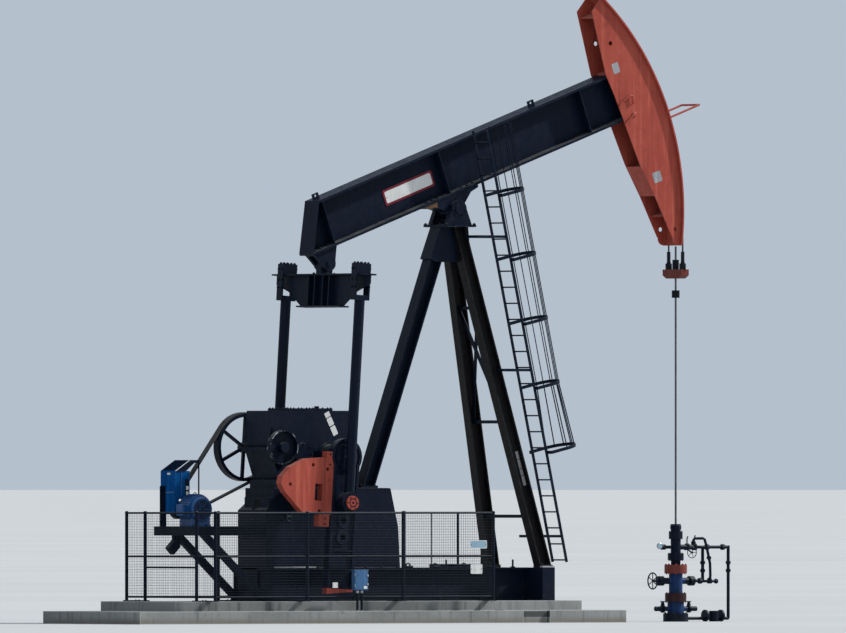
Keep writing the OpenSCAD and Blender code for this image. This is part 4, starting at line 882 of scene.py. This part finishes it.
def guard_details(blue, white, navy):
    """Screws, stiffening ribs, bare plates, conduit and gusset of the belt guard."""
    bm = bmesh.new()
    for x in (-5.885, -5.60):
        for z in spread(2.33, 2.77, 0.11):
            bolt(bm, HERE, (x, 0.4298, z), "-y", 0.008)
    for y in (0.46, 0.85):
        for z in spread(2.06, 2.76, 0.14):
            bolt(bm, HERE, (-5.9102, y, z), "-x", 0.008)
    slab_box(bm, HERE, (-5.917, 0.44, 2.40), (-5.909, 0.87, 2.425), 0.002)
    slab_box(bm, HERE, (-5.765, 0.422, 2.06), (-5.745, GUARD_NEAR, 2.79), 0.002)
    guard_plates(bm)
    slab_box(bm, HERE, (-5.675, 0.418, 2.34), (-5.595, 0.431, 2.66), 0.003, 2)
    tube(bm, [(-5.66, 0.41, 2.06), (-5.66, 0.41, 2.33)], 0.008, 8, HERE, 2)
    guard_gusset(bm)
    return piece("guard_details", bm, "root", [blue, white, navy])


def gearbox_details(navy, white, steel):
    """Bright strip, sight glass, plugs, oil line and tags on the near side of the gear reducer."""
    bm = bmesh.new()
    near = -GEARBOX_HALF_W
    strips = (((-3.090, 3.890), (-3.047, 3.805)), ((-3.040, 3.790), (-2.968, 3.650)),
        ((-2.958, 3.632), (-2.878, 3.475)))
    for (x1, z1), (x2, z2) in strips:
        middle = shift(((x1 + x2) / 2, near - 0.0003, (z1 + z2) / 2))
        along = Matrix.Rotation(-math.atan2(z2 - z1, x2 - x1), 4, "Y")
        bare_plate(bm, middle @ along @ AIMS["-y"], math.hypot(x2 - x1, z2 - z1), 0.115, 0.003, 0, 1)
    glass = [(0.045, -0.001), (0.045, 0.012), (0.034, 0.016), (0.034, 0.010)]
    lathe(bm, shift((-2.66, near, 2.95)) @ AIMS["-y"], glass, 24, 2)
    for x in (-3.98, -3.3, -2.72):
        bolt(bm, HERE, (x, near, 2.72), "-y", 0.018)
    oil_line = ((-4.30, 3.62), (-4.30, 3.30), (-4.25, 3.26))
    tube(bm, [(x, near - 0.012, z) for x, z in oil_line], 0.009, 8)
    for x in (-4.12, -3.96, -3.80):
        bare_plate(bm, shift((x, near - 0.0003, 3.72)) @ AIMS["-y"], 0.05, 0.03, 0.002)
    return piece("gearbox_details", bm, "root", [navy, white, steel])


def pedestal_hatch(navy, hole_shade):
    """The plate with an oval hand hole at the back of the pedestal, and its sides to the slope. A black oval
    disc in the hole is painted shade for the dark hollow behind it.
    """
    bm = bmesh.new()
    slab_box(bm, HERE, (-4.410, -0.448, 2.080), (-4.398, 0.330, 2.330), 0.002)
    for y in (-0.442, 0.324):
        slab_box(bm, HERE, (-4.400, y - 0.006, 2.080), (-4.300, y + 0.006, 2.328), 0.002)
    slab_box(bm, HERE, (-4.400, -0.440, 2.316), (-4.300, 0.322, 2.328), 0.002)
    oval = shift((-4.4102, -0.077, 2.200)) @ AIMS["-x"] @ Matrix.Diagonal((1.0, 0.78, 1.0, 1.0))
    # Painted shade: a black disc fills the hand hole
    lathe(bm, oval, [(0.100, -0.001), (0.100, 0.0015)], 32, 1)
    tube(bm, [oval @ p for p in arc((0, 0, 0), 0.104, 0, 360, 32, "z")], 0.006, 8)
    for y in (-0.415, 0.300):
        for z in (2.110, 2.300):
            bolt(bm, HERE, (-4.410, y, z), "-x", 0.010)
    return piece("pedestal_hatch", bm, "root", [navy, hole_shade])


def at_well(dx, y, z):
    """A point from the well's axis."""
    return Vector((WELL_X + dx, y, z))


def small_handwheel(bm):
    """The small five-spoked handwheel and its stem."""
    wheel = shift(at_well(0.276, -0.135, 1.290)) @ AIMS["-y"]
    tube(bm, [wheel @ p for p in arc((0, 0, 0), 0.102, 0, 360, 32, "z")], 0.0075, 8)
    for i in range(5):
        u, v = math.cos(2 * math.pi * i / 5), math.sin(2 * math.pi * i / 5)
        tube(bm, [(0.012 * u, 0.012 * v, 0), (0.102 * u, 0.102 * v, 0)], 0.0055, 6, wheel)
    lathe(bm, wheel, [(0.022, -0.012), (0.022, 0.012)], 12)
    tube(bm, [at_well(0.276, y, z) for y, z in ((-0.13, 1.290), (-0.05, 1.320), (0, 1.370))], 0.014, 8)


def pressure_gauge(bm):
    """The pressure gauge on the left of the wellhead, with its bare dial."""
    gauge = shift(at_well(-0.404, -0.060, 1.412)) @ AIMS["-y"]
    lathe(bm, gauge, [(0.052, -0.040), (0.058, -0.020), (0.058, 0.0), (0.050, 0.006)], 28, 2)
    lathe(bm, gauge, [(0.046, 0.005), (0.046, 0.0075)], 28, 1)
    tube(bm, [at_well(-0.404, -0.03, 1.412), at_well(-0.36, 0, 1.40)], 0.012, 8)


def flow_loop(navy, pale, steel):
    """The slanted riser loop beside the wellhead, its side line, small handwheel and gauge."""
    riser = ((0.408, 0, 1.42), (0.408, 0, 1.52), (0.425, -0.01, 1.550), (0.585, -0.06, 1.553),
        (0.615, -0.07, 1.535), (0.650, -0.09, 1.390), (0.725, -0.09, 1.086), (0.762, -0.05, 0.860),
        (0.780, 0, 0.753))
    tee = [(0.042, -0.045), (0.048, -0.03), (0.048, 0.03), (0.040, 0.06)]
    union = [(0.038, -0.03), (0.045, -0.015), (0.045, 0.015), (0.038, 0.03)]
    cap = [(0.040, 0), (0.046, 0.01), (0.046, 0.05), (0.036, 0.06)]
    bm = bmesh.new()
    tube(bm, [at_well(*p) for p in riser], 0.026, 12)
    tube(bm, [at_well(0.56, 0, 0.753), at_well(0.93, 0, 0.753)], 0.026, 12)
    lathe(bm, shift(at_well(0.90, 0, 0.753)) @ AIMS["+x"], cap, 8)
    lathe(bm, shift(at_well(0.780, 0, 0.753)), tee, 12)
    for spot in ((0.408, 0, 1.47), (0.700, -0.09, 1.190)):
        lathe(bm, shift(at_well(*spot)), union, 8)
    small_handwheel(bm)
    pressure_gauge(bm)
    return piece("flow_loop", bm, "root", [navy, pale, steel])


def flange_studs(bm):
    """The studs of the wellhead's flanges, from the casing head up to the stuffing box."""
    for radius, z, count, size, aim, kind in (
            (0.200, 0.15, 12, 0.018, "+z", 0),
            (0.178, 0.37, 8, 0.013, "-z", 0),
            (0.165, 0.53, 8, 0.015, "+z", 0),
            (0.170, 0.90, 8, 0.015, "-z", 1),
            (0.182, 1.06, 8, 0.016, "+z", 1),
            (0.124, 1.15, 8, 0.013, "-z", 0),
            (0.124, 1.27, 8, 0.013, "+z", 0),
            (0.1135, 1.68, 6, 0.010, "+z", 0)):
        bolt_circle(bm, HERE, at_well(0, 0, z), aim, radius, count, size, kind, 0.2)


def valve_levers(bm):
    """The two bonnets with bent levers on the upper line, and the two small valves low down."""
    dome = [(0.052, -0.06), (0.052, 0.05), (0.03, 0.07)]
    for dx, length in ((0.26, 0.15), (0.43, 0.17)):
        lathe(bm, shift(at_well(dx, 0, 1.39)), dome, 16)
        lever = ((dx, 1.45), (dx, 1.50 + length * 0.3), (dx + 0.02, 1.44 + length))
        tube(bm, [at_well(x, 0, z) for x, z in lever], 0.012, 8)
    bonnet = [(0.036, -0.01), (0.036, 0.05), (0.02, 0.09)]
    for dx in (-0.30, 0.30):
        lathe(bm, shift(at_well(dx, 0, 0.24)) @ AIMS["+x"], [(0.075, -0.02), (0.075, 0.02)], 20)
        lathe(bm, shift(at_well(dx, 0, 0.285)), bonnet, 14)
        tube(bm, [at_well(dx, -0.07, 0.375), at_well(dx, 0.07, 0.375)], 0.009, 8)


def wellhead_details(navy, red):
    """Flange studs, gland nut, valve levers and unions of the wellhead."""
    gland = [(0.099, 1.72), (0.106, 1.73), (0.106, 1.79), (0.099, 1.80)]
    union = [(0.046, -0.04), (0.056, -0.03), (0.056, 0.03), (0.046, 0.04)]
    collar = [(0.044, -0.03), (0.050, 0.0), (0.044, 0.03)]
    bm = bmesh.new()
    flange_studs(bm)
    lathe(bm, shift(at_well(0, 0, 0)), gland, 8)
    valve_levers(bm)
    for dx, z in ((0.72, 1.39), (1.08, 1.39), (0.56, 0.76)):
        lathe(bm, shift(at_well(dx, 0, z)) @ AIMS["+x"], union, 8)
    for dx in (0.62, 1.21):
        for z in (1.10, 0.95):
            lathe(bm, shift(at_well(dx, 0, z)), collar, 8)
    return piece("wellhead_details", bm, "root", [navy, red])


def cage_rivets(navy):
    """A rivet where each bar of the safety cage meets a hoop, and the hoops' bolts on the rails."""
    rivet = [(0.011, -0.002), (0.010, 0.003), (0.004, 0.0065)]
    rail_bolt = [(0.012, -0.002), (0.010, 0.005)]
    bm = bmesh.new()
    for hoop in range(5):
        z = 2.08 + hoop * 1.22
        radius = 0.362 if hoop == 0 else 0.282
        for k in range(7):
            middle = LADDER @ shift((0.398, -0.5225, 0))
            turned = middle @ Matrix.Rotation(math.radians(30 * k - 90), 4, "Z")
            lathe(bm, turned @ shift((radius, 0, z)) @ AIMS["+x"], rivet, 10)
        for y in (-0.30, -0.745):
            lathe(bm, LADDER @ shift((0.034, y, z)) @ AIMS["+x"], rail_bolt, 6)
    return piece("cage_rivets", bm, "root", [navy])


def junction_details(box_blue, steel, white):
    """Door, lid, hinges, latches, glands, conduit feet and a bare label of the junction box."""
    gland = [(0.026, 0), (0.031, 0.008), (0.031, 0.045), (0.026, 0.056)]
    bm = bmesh.new()
    slab_box(bm, HERE, (-3.238, -1.557, 0.628), (-2.957, -1.549, 0.972), 0.003)
    slab_box(bm, HERE, (-3.262, -1.556, 0.978), (-2.933, -1.455, 0.990), 0.003)
    for z in (0.70, 0.90):
        tube(bm, [(-3.244, -1.556, z - 0.03), (-3.244, -1.556, z + 0.03)], 0.007, 10, HERE, 1)
    for z in (0.72, 0.88):
        slab_box(bm, HERE, (-2.972, -1.566, z - 0.018), (-2.944, -1.549, z + 0.018), 0.003, 1)
    bare_plate(bm, shift((-3.01, -1.5572, 0.665)) @ AIMS["-y"], 0.075, 0.05, 0.002, 0, 2)
    for x in (-3.155, -3.06):
        lathe(bm, shift((x, -1.505, 0.56)), gland, 8, 1)
        lathe(bm, shift((x, -1.505, 0.23)), [(0.034, -0.001), (0.034, 0.012)], 16, 1)
    return piece("junction_details", bm, "root", [box_blue, steel, white])


def fence_plates(white, pale, rope):
    """Bare plates hung on the near fence panel, and the clamp hooked on its top rail."""
    bm = bmesh.new()
    near = -1.4685
    for x, z, width, height, kind in ((-0.395, 1.452, 0.38, 0.150, 1), (-0.440, 0.998, 0.265, 0.178, 0),
            (-3.630, 0.708, 0.120, 0.100, 0)):
        bare_plate(bm, shift((x, near, z)) @ AIMS["-y"], width, height, 0.003, 0.012, kind, 0)
        for dx in (-0.42 * width, 0.42 * width):
            bolt(bm, HERE, (x + dx, near - 0.002, z), "-y", 0.006, 2)
    bow = arc((-4.663, -1.47, 1.93), 0.045, 180, 360, 14)
    hook = [(-4.708, -1.47, 2.02), (-4.708, -1.47, 1.93)] + bow + [(-4.618, -1.47, 2.02)]
    tube(bm, hook, 0.014, 10, HERE, 2)
    tube(bm, [(-4.708, -1.47, 1.975), (-4.618, -1.47, 1.975)], 0.010, 8, HERE, 2)
    return piece("fence_plates", bm, "root", [white, pale, rope])


def post_caps(navy):
    """Rounded caps on the fence posts and nuts at their feet."""
    cap = [(0.031, -0.03), (0.033, -0.02), (0.033, 0.0), (0.026, 0.010), (0.012, 0.016)]
    spots = [(x, -FENCE_Y) for x in NEAR_POSTS] + [(x, FENCE_Y) for x in FAR_POSTS]
    bm = bmesh.new()
    for x, y in spots + [(FENCE_X[0], -0.83), (FENCE_X[0], 0.83)]:
        lathe(bm, shift((x, y, FENCE_Z[1] + 0.02)), cap, 18)
    for x, y in spots:
        for dx in (-0.035, 0.035):
            bolt(bm, HERE, (x + dx, math.copysign(1.08, y), PLINTH_Z + 0.02), "+z", 0.011)
    return piece("post_caps", bm, "root", [navy])


def leg_frame(low, high):
    """A frame whose z axis runs up a leg from its foot, as the leg's section lies."""
    d = Vector(high) - Vector(low)
    return (shift(low) @ Matrix.Rotation(-math.atan2(d.y, d.z), 4, "X")
        @ Matrix.Rotation(math.atan2(d.x, math.hypot(d.y, d.z)), 4, "Y"))


def leg_strip(worn_white_and_highlight):
    """The worn bright strip on the near front leg's web."""
    leg = leg_frame((1.53, -0.83, 1.02), (0.06, -0.135, 7.33))
    bm = bmesh.new()
    for low, high in ((1.56, 1.74), (1.75, 1.87), (1.88, 2.05), (2.06, 2.21)):
        slab_box(bm, leg, (0.018, -0.0160, low), (0.082, -0.0128, high), 0.001)
    return piece("leg_strip", bm, "root", [worn_white_and_highlight])


def weld_runs():
    """Start and end of each weld: pedestal on skid, its corners and top, post head, outrigger, skid ends."""
    runs = [((-4.469, -0.449, z), (-4.469, 0.449, z)) for z in (1.022, 2.085)]
    for side in SIDES:
        y = side * 0.451
        runs += [
            ((-4.467, y, 1.022), (-1.45, y, 1.022)),
            ((-4.467, y, 1.03), (-4.467, y, 2.09)),
            ((-4.30, y, 2.489), (-1.71, y, 2.489)),
            ((-0.35, side * 0.345, 7.371), (-0.35, side * 0.1, 7.371)),
            ((-0.3, side * 0.362, 7.331), (-0.1, side * 0.362, 7.331)),
            ((0.1, side * 0.362, 7.331), (0.3, side * 0.362, 7.331)),
            ((1.39, side * 1.0115, 0.42), (1.39, side * 1.0115, 1.02)),
            ((-4.576, side * 0.442, 0.45), (-4.576, side * 0.442, 0.98)),
        ]
    return runs


def weld_beads(navy):
    """Rippled weld beads where plates meet on the skid, the pedestal and the post."""
    bm = bmesh.new()
    for start, end in weld_runs():
        a, b = Vector(start), Vector(end)
        steps = int((b - a).length / 0.011)
        points = [a.lerp(b, i / steps) + Vector((0, 0, 0.0016 * (i % 2))) for i in range(steps + 1)]
        tube(bm, points, 0.0062, 6)
    return piece("weld_beads", bm, "root", [navy])


def skid_fittings(navy, worn_white_and_highlight):
    """Lashing lugs, hold-down studs, a cover plate and two bright plates along the skid; the first is
    painted sunlight on the skid's top flange.
    """
    stud = [(0.045, -0.001), (0.045, 0.02), (0.018, 0.021), (0.018, 0.14), (0.012, 0.15)]
    low = SKID_TOP - 0.0005
    bm = bmesh.new()
    for x in (-1.26, -0.64, 0.62):
        for y in (-0.43, 0.43):
            slab_box(bm, HERE, (x - 0.07, y - 0.07, low), (x + 0.07, y + 0.07, 1.055), 0.006)
            tube(bm, arc((x, y, 1.055), 0.045, 0, 180, 12), 0.012, 8)
    for x in (-0.39, 1.125):
        lathe(bm, shift((x, -0.43, SKID_TOP)), stud, 12)
    slab_box(bm, HERE, (-0.10, 0.33, low), (0.83, 0.53, 1.085), 0.008)
    # Painted sunlight: a pale strip stands for the sun falling on the skid's top flange
    slab_box(bm, HERE, (-4.35, -0.562, low), (-3.42, -0.530, 1.046), 0.003, 1)
    slab_box(bm, HERE, (1.392, -1.008, low), (1.668, -0.925, 1.050), 0.003, 1)
    return piece("skid_fittings", bm, "root", [navy, worn_white_and_highlight])


# SCENE


# Lamps shine from KEY_FROM and FILL_FROM; the azimuth is in degrees, lengths in metres, the lens in mm
WORLD_COLOUR = (0.74, 0.85, 0.98)
WORLD_POWER = 0.62
KEY_FROM = (0.735, -0.230, 0.638)
FILL_FROM = (-0.6, -0.6, 0.5)
CAMERA_AZIMUTH = -35.3
CAMERA_Z = 2.68
DISTANCE = 450
TARGET = Vector((-0.61, 0, 5.67))
LENS = 1034


def sun(name, power, angle, towards):
    """A sun lamp that shines from a direction; its angle in degrees softens the shadows."""
    lamp = bpy.data.lights.new(name, "SUN")
    lamp.energy = power
    lamp.angle = math.radians(angle)
    obj = bpy.data.objects.new(name, lamp)
    obj.rotation_mode = "QUATERNION"
    obj.rotation_quaternion = Vector(towards).to_track_quat("Z", "Y")
    bpy.context.scene.collection.objects.link(obj)


def lights():
    """A pale studio world, a soft key from the right and behind, and a weak fill."""
    world = bpy.data.worlds.new("studio")
    world.use_nodes = True
    background = world.node_tree.nodes["Background"]
    background.inputs["Color"].default_value = (*WORLD_COLOUR, 1)
    background.inputs["Strength"].default_value = WORLD_POWER
    bpy.context.scene.world = world
    sun("key", 4.9, 2.5, KEY_FROM)
    sun("fill", 0.15, 60, FILL_FROM)


def camera():
    """A far camera with a long lens, low down and turned as the photograph was taken."""
    scene = bpy.context.scene
    scene.view_settings.view_transform = "Standard"
    turn = math.radians(CAMERA_AZIMUTH)
    eye = Vector((TARGET.x + DISTANCE * math.sin(turn), -DISTANCE * math.cos(turn), CAMERA_Z))
    data = bpy.data.cameras.new("camera")
    data.lens = LENS
    data.sensor_width = 36
    data.clip_start = 1
    data.clip_end = 12000
    obj = bpy.data.objects.new("camera", data)
    obj.location = eye
    obj.rotation_mode = "QUATERNION"
    obj.rotation_quaternion = (TARGET - eye).to_track_quat("-Z", "Y")
    scene.collection.objects.link(obj)
    scene.camera = obj


def floor(material):
    """A disc wide enough to reach the horizon, which is no part of the model."""
    bm = bmesh.new()
    bmesh.ops.create_circle(bm, cap_ends=True, segments=64, radius=5000)
    mesh = bpy.data.meshes.new("floor")
    bm.to_mesh(mesh)
    bm.free()
    mesh.materials.append(material)
    obj = bpy.data.objects.new("floor", mesh)
    bpy.context.scene.collection.objects.link(obj)


lights()
camera()
floor(studio_floor("floor_paint"))
navy, red = dress_cad()
blue = painted("motor_blue", BLUE, dust=0.2, rough=(0.25, 0.50), shine=0.4)
box_blue = painted("box_blue", BOX_BLUE, dust=0.4)
pale = painted("pale_enamel", PALE, dust=0.2, wear=0.3, streaks=0.4, mud=0.2)
steel = bare_metal("galvanised_steel", STEEL)
rope = bare_metal("rope_steel", ROPE, (0.35, 0.6), 0.6, 2.0)
white = painted("white_enamel", WHITE, dust=0.2, wear=0.3, streaks=0.4, mud=0.2)
crimson = painted("crimson_enamel", CRIMSON, dust=0.2, wear=0.3)
# Worn white paint, also used for the painted sunlight on the skid's flange
worn_white_and_highlight = painted("worn_white_and_highlight", WORN_WHITE_AND_HIGHLIGHT, dust=0.2, wear=0.6, streaks=0.8, mud=0.2)
# Painted shade for the pedestal's hand hole
hole_shade = painted("painted_hole_shade", HOLE_SHADE, dust=0.0, wear=0.1, streaks=0.1, mud=0.1)
root_bolts(navy)
beam_bolts(navy)
pitman_bolts(navy)
crank_bolts(navy, white)
fence_wires(navy)
beam_sign(white, crimson)
head_stickers(worn_white_and_highlight)
head_latches(red)
laid_ropes(rope, navy)
hanging_ropes(rope)
socket_links(rope)
motor_details(blue, navy)
guard_details(blue, white, navy)
gearbox_details(navy, white, steel)
wellhead_details(navy, red)
flow_loop(navy, pale, steel)
pedestal_hatch(navy, hole_shade)
cage_rivets(navy)
junction_details(box_blue, steel, white)
fence_plates(white, pale, rope)
post_caps(navy)
leg_strip(worn_white_and_highlight)
weld_beads(navy)
skid_fittings(navy, worn_white_and_highlight)
